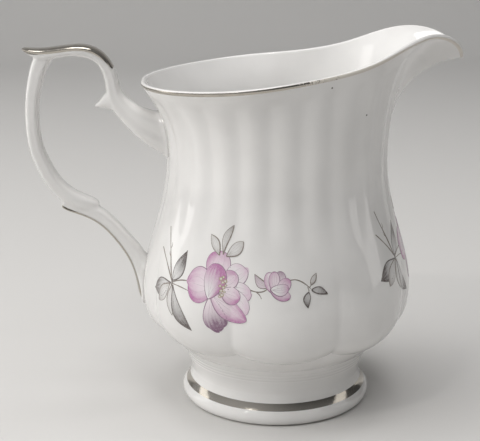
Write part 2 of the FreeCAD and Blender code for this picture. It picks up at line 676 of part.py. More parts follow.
def make_sprays(doc, size, form):
    """The printed sprays: films that follow the belly, evenly spaced from the handle's side."""
    lift, thickness = size("film_clearance"), size("film_thickness")
    for index, (name, raised) in enumerate(SPRAYS):
        root = SPRAY_ROOT + index * size("spray_pitch")
        inner = spray_face(form, root, raised, lift)
        outer = spray_face(form, root, raised, lift + thickness)
        sides = [Part.makeRuledSurface(low, high) for low, high in zip(inner.Edges, outer.Edges)]
        feature(doc, name, closed_solid([inner, outer] + sides))


# ---------------------------------------------------------------- the whole jug

def check(doc):
    """Stop before anything is written if an object failed or a sub-part isn't a sound solid."""
    for item in doc.Objects:
        if "Invalid" in item.State or "Error" in item.State:
            raise RuntimeError("%s failed: %s" % (item.Name, item.State))
    for label, node in NODES.items():
        shape = node.Shape
        if shape.isNull() or not shape.isValid() or not shape.Solids or shape.Volume <= 0:
            raise RuntimeError("%s isn't a sound solid" % label)


def main():
    """Build the document, check it and write one file for each sub-part."""
    doc = FreeCAD.newDocument("cream_jug")
    sheet = make_sheet(doc)

    def size(alias):
        return float(sheet.get(alias))

    make_foot(doc, size)
    form = make_body(doc, size)
    make_handle(doc, size, form)
    make_sprays(doc, size, form)
    doc.recompute()
    check(doc)
    os.makedirs("parts", exist_ok=True)
    for label, node in NODES.items():
        node.Shape.exportStep("parts/%s.step" % label)
        print("%-22s %9.1f mm3" % (label, node.Shape.Volume))


main()
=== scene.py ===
"""Looks of the porcelain cream jug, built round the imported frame.

The jug's sizes are written in millimetres and the studio's in metres. Every finished mesh is in metres,
in the frame's own axes: the origin is on the jug's axis where it stands, +X runs towards the spout and -X
towards the handle. A bearing is the angle round the axis from the spout.
"""
import logging
import math
from collections.abc import Callable, Sequence
from dataclasses import dataclass, field
from enum import Enum
from functools import lru_cache

import bmesh
import bpy
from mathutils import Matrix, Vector
from mathutils.bvhtree import BVHTree


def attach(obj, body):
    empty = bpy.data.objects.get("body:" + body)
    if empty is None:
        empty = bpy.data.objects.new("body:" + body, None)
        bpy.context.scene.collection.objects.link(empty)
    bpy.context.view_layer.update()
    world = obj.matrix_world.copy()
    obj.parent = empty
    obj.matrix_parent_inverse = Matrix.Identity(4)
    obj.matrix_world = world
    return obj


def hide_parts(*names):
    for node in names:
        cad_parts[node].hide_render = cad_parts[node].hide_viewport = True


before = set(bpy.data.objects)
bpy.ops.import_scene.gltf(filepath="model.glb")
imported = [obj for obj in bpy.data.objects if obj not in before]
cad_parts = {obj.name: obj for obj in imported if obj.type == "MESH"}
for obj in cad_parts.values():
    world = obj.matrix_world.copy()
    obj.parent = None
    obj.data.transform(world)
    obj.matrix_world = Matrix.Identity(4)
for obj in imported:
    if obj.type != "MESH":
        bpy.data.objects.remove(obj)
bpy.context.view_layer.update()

LOG = logging.getLogger("cream_jug")
MM = 0.001
ROUND_BEARING = 6
CUBIC_POINTS = 4
BODY = "root"

Flat = tuple[float, float]
Ring = Callable[[float], Flat]
Colour = tuple[float, float, float]


# ---------------------------------------------------------------- small helpers

def blend(low: float, high: float, at: float) -> float:
    """Smooth step from 0 at low to 1 at high.

    Args:
        low: Where the step begins.
        high: Where the step ends.
        at: Where it is read.

    Returns:
        The step's height, from 0 to 1.
    """
    part = min(max((at - low) / (high - low), 0.0), 1.0)
    return part * part * (3 - 2 * part)


def steps(low: float, high: float, count: int, power: float = 1.0) -> list[float]:
    """Values from low to high, closer together at the low end where power is above 1.

    Args:
        low: First value.
        high: Last value.
        count: How many spaces lie between them.
        power: How strongly the values crowd towards low.

    Returns:
        count + 1 values.
    """
    return [low + (high - low) * (index / count) ** power for index in range(count + 1)]


def tint_between(first: Colour, second: Colour, share: float) -> Colour:
    """Mixed colour.

    Args:
        first: Colour at share 0.
        second: Colour at share 1.
        share: How far to go from first to second.

    Returns:
        The mixed colour.
    """
    part = min(max(share, 0.0), 1.0)
    return tuple(a + (b - a) * part for a, b in zip(first, second))


class FairCurve:
    """A fair curve through points in a plane, drawn as a bent spline batten would lie."""

    def __init__(self, points: Sequence[Flat], samples: int = 400) -> None:
        """Bend the batten.

        Args:
            points: The points that it passes through, in order.
            samples: How many short chords stand for it.
        """
        self.points = [Vector(point) for point in points]
        self.knots = [0.0]
        for first, second in zip(self.points, self.points[1:]):
            self.knots.append(self.knots[-1] + (second - first).length)
        self.slopes = self._slopes()
        self.samples = [self.at(self.knots[-1] * index / samples) for index in range(samples + 1)]

    def _end_slope(self, order: Sequence[int]) -> Vector:
        """Slope at an end, from the cubic through the points nearest to it.

        Args:
            order: Numbers of those points, the end one first.

        Returns:
            The slope at the end.
        """
        times = [self.knots[index] for index in order]
        total = Vector((0.0, 0.0))
        for place, index in enumerate(order):
            others = [times[k] for k in range(len(order)) if k != place]
            bottom = math.prod(times[place] - other for other in others)
            top = sum(
                math.prod(times[0] - others[k] for k in range(len(others)) if k != skip)
                for skip in range(len(others))
            )
            total += self.points[index] * (top / bottom)
        return total

    def _slopes(self) -> list[Vector]:
        """Slopes at the points that leave the curve without a change of bend between its spans.

        Returns:
            One slope for each point.
        """
        count = len(self.points)
        gaps = [second - first for first, second in zip(self.knots, self.knots[1:])]
        rises = [(self.points[i + 1] - self.points[i]) / gaps[i] for i in range(count - 1)]
        reach = min(CUBIC_POINTS, count)
        first = self._end_slope(range(reach))
        last = self._end_slope(range(count - 1, count - 1 - reach, -1))
        factors, sides = [0.0], [first]
        for i in range(1, count - 1):
            below, diagonal, above = gaps[i], 2 * (gaps[i - 1] + gaps[i]), gaps[i - 1]
            side = 3 * (gaps[i] * rises[i - 1] + gaps[i - 1] * rises[i])
            pivot = diagonal - below * factors[-1]
            sides.append((side - below * sides[-1]) / pivot)
            factors.append(above / pivot)
        slopes = [last]
        for i in range(count - 2, -1, -1):
            slopes.append(sides[i] - factors[i] * slopes[-1])
        return slopes[::-1]

    def at(self, distance: float) -> Vector:
        """Point of the curve.

        Args:
            distance: How far along, measured over the straight lines between the points.

        Returns:
            The point there.
        """
        last = len(self.points) - 2
        index = next((i for i in range(last) if distance <= self.knots[i + 1]), last)
        gap = self.knots[index + 1] - self.knots[index]
        t = (distance - self.knots[index]) / gap
        start, end = self.points[index], self.points[index + 1]
        leave, arrive = self.slopes[index] * gap, self.slopes[index + 1] * gap
        return (
            start * (2 * t ** 3 - 3 * t ** 2 + 1) + leave * (t ** 3 - 2 * t ** 2 + t)
            + end * (3 * t ** 2 - 2 * t ** 3) + arrive * (t ** 3 - t ** 2)
        )

    def even(self, count: int) -> list[Vector]:
        """Points evenly spaced by distance.

        Args:
            count: How many spaces lie between them.

        Returns:
            count + 1 points, ends included.
        """
        return [self.at(self.knots[-1] * index / count) for index in range(count + 1)]


# ---------------------------------------------------------------- finishes

class Bench:
    """A material's node tree with short ways to add nodes and join them."""

    def __init__(self, name: str) -> None:
        """Start a material.

        Args:
            name: The material's name.
        """
        self.material = bpy.data.materials.new(name)
        self.material.use_nodes = True
        self.tree = self.material.node_tree
        self.tree.nodes.clear()
        output = self.tree.nodes.new("ShaderNodeOutputMaterial")
        self.shader = self.tree.nodes.new("ShaderNodeBsdfPrincipled")
        self.join(self.shader.outputs["BSDF"], output.inputs["Surface"])

    def join(self, source: bpy.types.NodeSocket, target: bpy.types.NodeSocket) -> None:
        """Link one socket to another."""
        self.tree.links.new(source, target)

    def feed(self, target: bpy.types.NodeSocket, value: object) -> None:
        """Give a socket a value, or a link where the value is another socket.

        Args:
            target: The socket to fill.
            value: A number, a colour or a socket.
        """
        if isinstance(value, bpy.types.NodeSocket):
            self.join(value, target)
        elif isinstance(value, (tuple, list)) and len(value) == 3 and target.type == "RGBA":
            target.default_value = (*value, 1.0)
        else:
            target.default_value = value

    def set(self, **values: object) -> None:
        """Fill the shader's own sockets, named with _ for a space.

        Args:
            values: Socket name and value pairs.
        """
        for name, value in values.items():
            self.feed(self.shader.inputs[name.replace("_", " ")], value)

    def place(self) -> bpy.types.NodeSocket:
        """The surface point in the frame's own axes, in metres."""
        return self.tree.nodes.new("ShaderNodeTexCoord").outputs["Object"]

    def axis(self, name: str) -> bpy.types.NodeSocket:
        """One coordinate of the surface point.

        Args:
            name: X, Y or Z.

        Returns:
            The coordinate in metres.
        """
        split = self.tree.nodes.new("ShaderNodeSeparateXYZ")
        self.join(self.place(), split.inputs["Vector"])
        return split.outputs[name]

    def noise(self, grain: float, detail: float = 3.0, roughness: float = 0.5) -> bpy.types.NodeSocket:
        """Cloudy variation.

        Args:
            grain: Size of its patches in millimetres.
            detail: How many finer layers lie on it.
            roughness: How strong the finer layers are.

        Returns:
            A value from 0 to 1.
        """
        node = self.tree.nodes.new("ShaderNodeTexNoise")
        self.join(self.place(), node.inputs["Vector"])
        node.inputs["Scale"].default_value = 1 / (grain * MM)
        node.inputs["Detail"].default_value = detail
        node.inputs["Roughness"].default_value = roughness
        return node.outputs["Fac"]

    def spots(self, spacing: float) -> bpy.types.NodeSocket:
        """Distance to the nearest of scattered points.

        Args:
            spacing: About how far apart the points lie, in millimetres.

        Returns:
            The distance as a share of the spacing.
        """
        node = self.tree.nodes.new("ShaderNodeTexVoronoi")
        self.join(self.place(), node.inputs["Vector"])
        node.inputs["Scale"].default_value = 1 / (spacing * MM)
        return node.outputs["Distance"]

    def away_from(self, point: Sequence[float]) -> bpy.types.NodeSocket:
        """Distance from a point.

        Args:
            point: The point in millimetres.

        Returns:
            The distance in metres.
        """
        node = self.tree.nodes.new("ShaderNodeVectorMath")
        node.operation = "DISTANCE"
        self.join(self.place(), node.inputs[0])
        node.inputs[1].default_value = [value * MM for value in point]
        return node.outputs["Value"]

    def spread(
        self, value: object, low: float, high: float, start: float = 0.0, end: float = 1.0,
    ) -> bpy.types.NodeSocket:
        """Map a value smoothly from one range to another, and hold it at the ends.

        Args:
            value: The socket to map.
            low: Value that gives start.
            high: Value that gives end.
            start: Result at low.
            end: Result at high.

        Returns:
            The mapped value.
        """
        node = self.tree.nodes.new("ShaderNodeMapRange")
        node.interpolation_type = "SMOOTHSTEP"
        self.feed(node.inputs["Value"], value)
        for name, number in zip(("From Min", "From Max", "To Min", "To Max"), (low, high, start, end)):
            node.inputs[name].default_value = number
        return node.outputs["Result"]

    def sum(self, operation: str, first: object, second: object) -> bpy.types.NodeSocket:
        """Join two values by arithmetic.

        Args:
            operation: ADD, MULTIPLY, MAXIMUM and so on.
            first: A number or a socket.
            second: A number or a socket.

        Returns:
            The result.
        """
        node = self.tree.nodes.new("ShaderNodeMath")
        node.operation = operation
        self.feed(node.inputs[0], first)
        self.feed(node.inputs[1], second)
        return node.outputs["Value"]

    def mix(self, share: object, first: object, second: object) -> bpy.types.NodeSocket:
        """Mixed colour.

        Args:
            share: A socket from 0 to 1.
            first: Colour or socket at 0.
            second: Colour or socket at 1.

        Returns:
            The mixed colour.
        """
        node = self.tree.nodes.new("ShaderNodeMix")
        node.data_type = "RGBA"
        colours = [socket for socket in node.inputs if socket.type == "RGBA"]
        self.feed(node.inputs["Factor"], share)
        self.feed(colours[0], first)
        self.feed(colours[1], second)
        return next(socket for socket in node.outputs if socket.type == "RGBA")

    def relief(self, height: bpy.types.NodeSocket, depth: float, strength: float = 1.0) -> None:
        """Fine unevenness of the surface.

        Args:
            height: Socket from 0 to 1.
            depth: Its height in millimetres.
            strength: How much of it is felt.
        """
        node = self.tree.nodes.new("ShaderNodeBump")
        node.inputs["Strength"].default_value = strength
        node.inputs["Distance"].default_value = depth * MM
        self.join(height, node.inputs["Height"])
        self.join(node.outputs["Normal"], self.shader.inputs["Normal"])


class Porcelain(Enum):
    """Tones of the fired body: under its clear glaze, in its faults and where it is bare; SHADE is a grey
    for painted shade in the glaze's pinholes.
    """

    OUTSIDE = (0.78, 0.77, 0.755)
    CLOUD = (0.74, 0.73, 0.715)
    # Painted shade for the glaze's pinholes; the fired slip also uses it as the darker tone of its grain.
    SHADE = (0.70, 0.70, 0.695)
    CLAY = (0.66, 0.61, 0.54)
    GRIT = (0.50, 0.45, 0.38)
    SPECK = (0.055, 0.045, 0.04)
    RUBBED = (0.64, 0.60, 0.54)


@dataclass(frozen=True)
class ClearGlaze:
    """Hard white porcelain under a clear glaze, bare where it stood in the kiln."""

    name: str = "clear_glaze"
    gloss: float = 0.09
    specks: tuple[tuple[float, float, float], ...] = ()
    speck_radius: float = 0.33
    bare_below: float = 0.0
    cloud_grain: float = 16.0
    pore_spacing: float = 1.3
    # How strongly the painted shade in the pinholes darkens the glaze.
    pore_shade_strength: float = 0.22
    hem: float = 0.35
    bare_roughness: float = 0.65
    unevenness: float = 0.03

    def make(self) -> bpy.types.Material:
        """Mix the glaze.

        Returns:
            Its material.
        """
        bench = Bench(self.name)
        cloud = bench.spread(bench.noise(self.cloud_grain, 3.0), 0.35, 0.68)
        colour = bench.mix(cloud, Porcelain.OUTSIDE.value, Porcelain.CLOUD.value)
        # Painted shade: tiny grey dots at scattered points stand for the shade inside the glaze's pinholes.
        pores = bench.spread(bench.spots(self.pore_spacing), 0.0, 0.06, 1.0, 0.0)
        pore_shade = bench.sum("MULTIPLY", pores, self.pore_shade_strength)
        colour = bench.mix(pore_shade, colour, Porcelain.SHADE.value)
        speck_edge = self.speck_radius * MM
        for speck in self.specks:
            near = bench.spread(bench.away_from(speck), 0.4 * speck_edge, speck_edge, 1.0, 0.0)
            colour = bench.mix(near, colour, Porcelain.SPECK.value)
        rough = bench.spread(bench.noise(5.0, 4.0, 0.6), 0.3, 0.75, self.gloss * 0.8, self.gloss * 1.45)
        if self.bare_below:
            sway = bench.sum("MULTIPLY", bench.noise(1.6, 4.0), self.hem * MM)
            ragged = bench.sum("ADD", bench.axis("Z"), sway)
            low, high = (self.bare_below - 0.05) * MM, (self.bare_below + 0.16) * MM
            bare = bench.spread(ragged, low, high, 1.0, 0.0)
            grit = bench.mix(bench.noise(0.35, 5.0, 0.7), Porcelain.CLAY.value, Porcelain.GRIT.value)
            colour = bench.mix(bare, colour, grit)
            rough = bench.sum("ADD", rough, bench.sum("MULTIPLY", bare, self.bare_roughness))
        bench.set(Base_Color=colour, Roughness=rough, IOR=1.52, Coat_Weight=0.45, Coat_Roughness=0.035)
        bench.relief(bench.noise(9.0, 1.0, 0.4), self.unevenness, 0.5)
        return bench.material


@dataclass(frozen=True)
class Platinum:
    """Bright platinum brushed over the glaze, rubbed thin where hands and cloths reach it.

    It is rubbed away along X between worn_from and worn_to, which lie past the spout unless they are set.
    """

    name: str = "platinum"
    tone: Colour = (0.50, 0.465, 0.41)
    gloss: float = 0.13
    worn: float = 0.16
    worn_from: float = 999.0
    worn_to: float = 1000.0
    gilt_layer: str = ""
    gilt_edge: tuple[float, float] = (0.36, 0.50)
    dull_share: float = 0.72

    def make(self) -> bpy.types.Material:
        """Mix the metal.

        Returns:
            Its material.
        """
        bench = Bench(self.name)
        patches = bench.noise(2.4, 5.0, 0.62)
        scuffs = bench.spread(patches, 0.70 - self.worn, 0.86 - self.worn, 0.0, 0.55)
        along = bench.spread(bench.axis("X"), self.worn_from * MM, self.worn_to * MM)
        sway = bench.spread(bench.noise(1.2, 4.0, 0.7), 0.25, 0.75, -0.35, 0.35)
        ragged = bench.sum("ADD", along, sway)
        rubbed = bench.sum("MULTIPLY", bench.spread(ragged, 0.35, 0.9), bench.spread(along, 0.0, 0.12))
        lost = bench.sum("MAXIMUM", rubbed, bench.sum("MULTIPLY", scuffs, 0.35))
        under = Porcelain.RUBBED.value
        if self.gilt_layer:
            laid = bench.tree.nodes.new("ShaderNodeAttribute")
            laid.attribute_name = self.gilt_layer
            hem = bench.sum("ADD", laid.outputs["Fac"], bench.sum("MULTIPLY", bench.noise(0.9, 3.0), 0.2))
            bare = bench.spread(hem, *self.gilt_edge, 1.0, 0.0)
            lost = bench.sum("MAXIMUM", lost, bare)
            under = bench.mix(bare, under, Porcelain.OUTSIDE.value)
        film = bench.mix(scuffs, self.tone, tuple(self.dull_share * value for value in self.tone))
        bench.set(
            Base_Color=bench.mix(lost, film, under),
            Metallic=bench.spread(lost, 0.1, 0.75, 1.0, 0.0),
            Roughness=bench.spread(bench.noise(0.8, 4.0), 0.2, 0.8, self.gloss * 0.6, self.gloss * 1.9),
            Coat_Weight=0.15,
            Coat_Roughness=0.05,
        )
        bench.relief(bench.noise(0.9, 3.0), 0.01, 0.5)
        return bench.material


@dataclass(frozen=True)
class FiredSlip:
    """Slip that lutes two parts together, wiped smooth and glazed over."""

    name: str = "fired_slip"

    def make(self) -> bpy.types.Material:
        """Mix the slip.

        Returns:
            Its material.
        """
        bench = Bench(self.name)
        grain = bench.noise(0.5, 5.0, 0.65)
        bench.set(
            Base_Color=bench.mix(grain, Porcelain.CLOUD.value, Porcelain.SHADE.value),
            Roughness=bench.spread(grain, 0.2, 0.8, 0.16, 0.3),
            IOR=1.5,
            Coat_Weight=0.3,
            Coat_Roughness=0.08,
        )
        bench.relief(grain, 0.02, 0.5)
        return bench.material


@dataclass(frozen=True)
class TransferInk:
    """Printed enamel: its colour is carried by the mesh, broken by a fine grain."""

    name: str = "transfer_ink"
    layer: str = "ink"
    faded: float = 0.14
    dots: float = 0.16

    def make(self) -> bpy.types.Material:
        """Mix the ink.

        Returns:
            Its material.
        """
        bench = Bench(self.name)
        painted = bench.tree.nodes.new("ShaderNodeAttribute")
        painted.attribute_name = self.layer
        wash = bench.spread(bench.noise(1.1, 4.0, 0.6), 0.45, 0.75, 0.0, self.faded)
        grain = bench.spread(bench.spots(0.22), 0.3, 0.6, 0.0, self.dots)
        broken = bench.sum("ADD", wash, grain)
        colour = bench.mix(broken, painted.outputs["Color"], Porcelain.OUTSIDE.value)
        bench.set(
            Base_Color=colour,
            Roughness=bench.spread(bench.noise(0.6, 3.0), 0.2, 0.8, 0.13, 0.24),
            IOR=1.52,
            Coat_Weight=0.3,
            Coat_Roughness=0.06,
        )
        bench.relief(bench.noise(0.4, 3.0), 0.006, 0.5)
        return bench.material


@dataclass(frozen=True)
class PaperSweep:
    """Pale matt paper that the jug stands on."""

    name: str = "paper_sweep"
    tone: Colour = (0.64, 0.63, 0.615)

    def make(self) -> bpy.types.Material:
        """Mix the paper.

        Returns:
            Its material.
        """
        bench = Bench(self.name)
        fibre = bench.noise(1.4, 5.0, 0.6)
        paler = tuple(min(1.0, 1.05 * value) for value in self.tone)
        bench.set(
            Base_Color=bench.mix(fibre, self.tone, paler),
            Roughness=bench.spread(fibre, 0.2, 0.8, 0.62, 0.78),
        )
        bench.relief(fibre, 0.03, 0.3)
        return bench.material


# ---------------------------------------------------------------- mesh making

def finish_mesh(
    bm: bmesh.types.BMesh, name: str, material: bpy.types.Material, sharp: float = 40.0,
) -> bpy.types.Object:
    """Turn a mesh drawn in millimetres into a smooth-shaded piece of the scene.

    Args:
        bm: The mesh; it is freed.
        name: The piece's name.
        material: Its finish.
        sharp: Edges that turn by more than this many degrees stay crisp.

    Returns:
        The new object, at the origin.
    """
    bmesh.ops.scale(bm, vec=(MM, MM, MM), verts=bm.verts)
    mesh = bpy.data.meshes.new(name)
    bm.to_mesh(mesh)
    bm.free()
    mesh.shade_smooth()
    mesh.set_sharp_from_angle(angle=math.radians(sharp))
    mesh.materials.append(material)
    piece = bpy.data.objects.new(name, mesh)
    bpy.context.scene.collection.objects.link(piece)
    return piece


@dataclass
class Wheel:
    """The potter's wheel: it spins a row of points into a wall, then moulds the wall ring by ring."""

    columns: int = 288
    fine_within: float = 20.0
    weld: float = 1e-4

    def mould(self, rings: Sequence[Ring], closed: bool = False) -> bmesh.types.BMesh:
        """Spin and mould a wall.

        Args:
            rings: The wall's rings in order; each gives a radius and a height for a bearing in radians.
            closed: Whether the last ring joins the first.

        Returns:
            The mesh in millimetres, its poles closed and its faces outwards.
        """
        bm = bmesh.new()
        row = [bm.verts.new((1.0, 0.0, float(index))) for index in range(len(rings))]
        edges = [bm.edges.new(pair) for pair in zip(row, row[1:])]
        if closed:
            edges.append(bm.edges.new((row[-1], row[0])))
        bmesh.ops.spin(
            bm, geom=row + edges, cent=(0, 0, 0), axis=(0, 0, 1), angle=2 * math.pi,
            steps=self.columns, use_merge=True,
        )
        near = [edge for edge in bm.edges if self._is_level(edge) and self._is_near_spout(edge)]
        if near:
            bmesh.ops.subdivide_edges(bm, edges=near, cuts=1)
        for vert in bm.verts:
            bearing = math.atan2(vert.co.y, vert.co.x)
            radius, height = rings[round(vert.co.z)](round(bearing, ROUND_BEARING))
            vert.co = (radius * math.cos(bearing), radius * math.sin(bearing), height)
        bmesh.ops.remove_doubles(bm, verts=bm.verts, dist=self.weld)
        bmesh.ops.recalc_face_normals(bm, faces=bm.faces)
        return bm

    @staticmethod
    def _is_level(edge: bmesh.types.BMEdge) -> bool:
        """Whether an edge runs round the wall."""
        return abs(edge.verts[0].co.z - edge.verts[1].co.z) < 0.5

    def _is_near_spout(self, edge: bmesh.types.BMEdge) -> bool:
        """Whether an edge lies where the spout needs a finer wall."""
        middle = (edge.verts[0].co + edge.verts[1].co) / 2
        return abs(math.degrees(math.atan2(middle.y, middle.x))) < self.fine_within


# ---------------------------------------------------------------- shape of the jug

@dataclass(eq=False)
class JugForm:
    """The jug's surface as the mould-maker drew it: a radius and a height for every bearing and level."""

    neck_radius: float = 25.0
    seam_height: float = 8.8
    body_base: float = 9.05
    collar_radius: float = 30.3
    collar_height: float = 20.3
    lobe_count: int = 8
    lobe_depth: float = 1.35
    lobe_overhang: float = 0.6
    lobe_sharpness: float = 0.8
    scallop_rise: float = 1.4
    scallop_band: float = 8.0
    collar_swell: float = 0.75
    belly_full: float = 39.1
    belly_height: float = 34.0
    belly_raise: float = 0.15
    belly_raise_top: float = 60.0
    under_bend: float = 2.6
    under_fullness: float = 0.62
    shoulder_lean: float = 0.86
    lobe_fade_height: float = 54.0
    waist_radius: float = 31.5
    waist_height: float = 73.0
    flute_count: int = 24
    flute_depth: float = 0.42
    flute_sharpness: float = 1.6
    flute_base_height: float = 46.0
    flute_full_below_waist: float = 9.0
    flute_end: tuple[float, float] = (0.72, 0.9)
    rim_back: float = 38.2
    rim_half_width: float = 36.2
    spout_reach: float = 51.9
    rim_back_height: float = 93.0
    rim_side_height: float = 96.4
    rim_peak_height: float = 106.2
    spout_tip_height: float = 99.6
    spout_sweep: float = 22.0
    flare_drop: float = 5.6
    spout_flare_rise: float = 4.0
    wall: float = 2.3
    lip: float = 1.3
    floor_height: float = 13.25
    line_width: float = 0.35
    turned_lines: tuple[float, ...] = (12.9, 13.9, 15.0)
    turned_depth: float = 0.09
    turned_width: float = 0.2
    plan: list[Vector] = field(init=False)
    side: list[Vector] = field(init=False)

    def __post_init__(self) -> None:
        """Draw the rim in plan and from the side."""
        back, reach, width = self.rim_back, self.spout_reach, self.rim_half_width
        self.plan = FairCurve([
            (-back, 0.0), (-0.9 * back, 0.49 * width), (-0.53 * back, 0.9 * width), (-0.2 * back, width),
            (0.2 * back, 0.9 * width), (0.46 * reach, 0.73 * width), (0.66 * reach, 0.54 * width),
            (0.83 * reach, 0.31 * width), (0.95 * reach, 0.145 * width), (reach, 0.0),
        ]).samples
        top, tip = self.rim_side_height, self.spout_tip_height
        rise, dip = self.rim_peak_height - top, top - self.rim_back_height
        self.side = FairCurve([
            (-back, top - dip), (-0.55 * back, top - 0.66 * dip), (0.0, top),
            (0.24 * reach, top + 0.18 * rise), (0.46 * reach, top + 0.46 * rise),
            (0.66 * reach, top + 0.87 * rise), (0.79 * reach, top + rise),
            (0.91 * reach, 0.77 * (top + rise) + 0.23 * tip), (reach, tip),
        ]).samples
        self.rim = lru_cache(maxsize=None)(self._rim)

    def _rim(self, bearing: float) -> Flat:
        """Read the rim off its plan and its side view.

        Args:
            bearing: Bearing in radians.

        Returns:
            The rim's radius and height there.
        """
        turn = abs(math.atan2(math.sin(bearing), math.cos(bearing)))
        bearings = [math.atan2(point.y, point.x) for point in self.plan]
        index = next(i for i in range(1, len(bearings)) if bearings[i] <= turn + 1e-9)
        span = bearings[index - 1] - bearings[index]
        share = (bearings[index - 1] - turn) / span if span else 0.0
        point = self.plan[index - 1].lerp(self.plan[index], min(max(share, 0.0), 1.0))
        end = len(self.side) - 1
        index = next((i for i in range(1, end + 1) if self.side[i].x >= point.x), end)
        low, high = self.side[index - 1], self.side[index]
        share = min(max((point.x - low.x) / (high.x - low.x), 0.0), 1.0)
        return point.length, low.y + (high.y - low.y) * share

    def lobe(self, bearing: float) -> float:
        """1 along the middle of a lobe and 0 in a crease."""
        return abs(math.cos(self.lobe_count * bearing / 2)) ** self.lobe_sharpness

    def flute(self, bearing: float) -> float:
        """0 on the ridge between two flutes and 1 along the middle of a flute."""
        return 1 - abs(math.cos(self.flute_count * bearing / 2)) ** self.flute_sharpness

    def turned(self, height: float) -> float:
        """Depth of the fine lines turned into the collar.

        Args:
            height: Where it is read.

        Returns:
            The depth in millimetres.
        """
        return self.turned_depth * sum(
            math.exp(-((height - line) / self.turned_width) ** 2) for line in self.turned_lines
        )

    def collar_ring(self, share: float) -> Ring:
        """Ring of the plain collar.

        Args:
            share: 0 at the seam with the foot and 1 under the lobes.

        Returns:
            The ring.
        """
        slope = (self.collar_radius - self.neck_radius) / (self.collar_height - self.body_base)
        swell = (1 - self.collar_swell) * share + self.collar_swell * share ** 2
        height = self.body_base + (self.collar_height - self.body_base) * share
        flat = self.neck_radius + (self.collar_radius - self.neck_radius) * swell - self.turned(height)

        def ring(bearing: float) -> Flat:
            """The collar's edge rises between the lobes.

            Args:
                bearing: Bearing in radians.

            Returns:
                The radius and the height there.
            """
            crease = self.scallop_rise * (1 - self.lobe(bearing)) * blend(0.45, 1.0, share)
            return flat + crease * slope, height + crease
        return ring

    @lru_cache(maxsize=None)
    def _belly_radius(self, height: float) -> float:
        """Radius of the belly along the middle of a lobe.

        Args:
            height: Where it is read.

        Returns:
            The radius in millimetres.
        """
        edge = self.collar_radius + self.lobe_overhang
        if height <= self.belly_height:
            share = (self.belly_height - height) / (self.belly_height - self.collar_height)
            fullness = (1 - min(share, 1.0) ** self.under_bend) ** self.under_fullness
            return edge + (self.belly_full - edge) * fullness
        share = (height - self.belly_height) / (self.waist_height - self.belly_height)
        return self.waist_radius + (self.belly_full - self.waist_radius) * (
            0.5 + 0.5 * math.cos(math.pi * share ** self.shoulder_lean)
        )

    def belly_ring(self, height: float, plain: bool = False) -> Ring:
        """Ring of the lobed belly or the lower neck.

        Args:
            height: Height along the middle of a lobe.
            plain: Whether the lobes and flutes are left out, as on the inside.

        Returns:
            The ring.
        """
        radius = self._belly_radius(height)
        fade = 1 - blend(self.belly_height - 3, self.lobe_fade_height, height)
        flutes = blend(self.flute_base_height, self.waist_height - self.flute_full_below_waist, height)
        low = self.collar_height
        near_ledge = 1 - blend(low, low + self.scallop_band, height)
        settle = self.belly_raise * (1 - blend(self.belly_raise_top, self.waist_height, height))

        def ring(bearing: float) -> Flat:
            """Lobes and flutes are pressed into the round.

            Args:
                bearing: Bearing in radians.

            Returns:
                The radius and the height there.
            """
            if plain:
                return radius, height + settle
            crease = 1 - self.lobe(bearing)
            depth = self.lobe_depth * crease * fade + self.flute_depth * self.flute(bearing) * flutes
            return radius - depth, height + settle + self.scallop_rise * crease * near_ledge
        return ring

    @lru_cache(maxsize=None)
    def _neck_keys(self, bearing: float) -> tuple[tuple[Flat, ...], float]:
        """The points that shape the neck's profile.

        Args:
            bearing: Bearing in radians.

        Returns:
            Four points from the waist to the rim, and how near the spout they are, from 0 to 1.
        """
        radius, height = self.rim(bearing)
        turn = math.degrees(abs(math.atan2(math.sin(bearing), math.cos(bearing))))
        spout = math.exp(-(turn / (1.15 * self.spout_sweep)) ** 2)
        reach = self.waist_radius + (0.45 - 0.15 * spout) * (radius - self.waist_radius)
        rise = self.waist_height + (0.5 + 0.06 * spout) * (height - self.waist_height)
        keys = (
            (self.waist_radius, self.waist_height), (self.waist_radius, rise),
            (reach, height - self.flare_drop + self.spout_flare_rise * spout), (radius, height),
        )
        return keys, spout

    def neck_ring(self, share: float, short: float = 0.0, plain: bool = False) -> Ring:
        """Ring of the neck.

        Args:
            share: 0 at the waist and 1 at the rim.
            short: How far short of the rim the ring stops where share is 1.
            plain: Whether the flutes are left out.

        Returns:
            The ring.
        """
        def ring(bearing: float) -> Flat:
            """The profile is one cubic arc, less the depth of the flutes.

            Args:
                bearing: Bearing in radians.

            Returns:
                The radius and the height there.
            """
            keys, spout = self._neck_keys(bearing)
            length = 3 * math.hypot(keys[3][0] - keys[2][0], keys[3][1] - keys[2][1])
            at = share * (1 - short / length)
            weights = ((1 - at) ** 3, 3 * at * (1 - at) ** 2, 3 * at ** 2 * (1 - at), at ** 3)
            across = sum(key[0] * weight for key, weight in zip(keys, weights))
            up = sum(key[1] * weight for key, weight in zip(keys, weights))
            smooth_spout = 1 - 0.8 * spout * blend(0.1, 0.6, share)
            fade = 0.0 if plain else (1 - blend(*self.flute_end, share)) * smooth_spout
            return across - self.flute_depth * self.flute(bearing) * fade, up
        return ring

    def lip_ring(self, turn: float) -> Ring:
        """Ring of the lip's rounding.

        Args:
            turn: 0 at the lip's outer edge and pi at its inner one.

        Returns:
            The ring.
        """
        half = self.lip / 2

        def ring(bearing: float) -> Flat:
            """The rounding is half a circle over the end of the wall.

            Args:
                bearing: Bearing in radians.

            Returns:
                The radius and the height there.
            """
            keys, _ = self._neck_keys(bearing)
            along = Vector((keys[3][0] - keys[2][0], keys[3][1] - keys[2][1])).normalized()
            out, up = half * (math.cos(turn) - 1), half * math.sin(turn)
            return keys[3][0] + out * along.y + up * along.x, keys[3][1] - out * along.x + up * along.y
        return ring

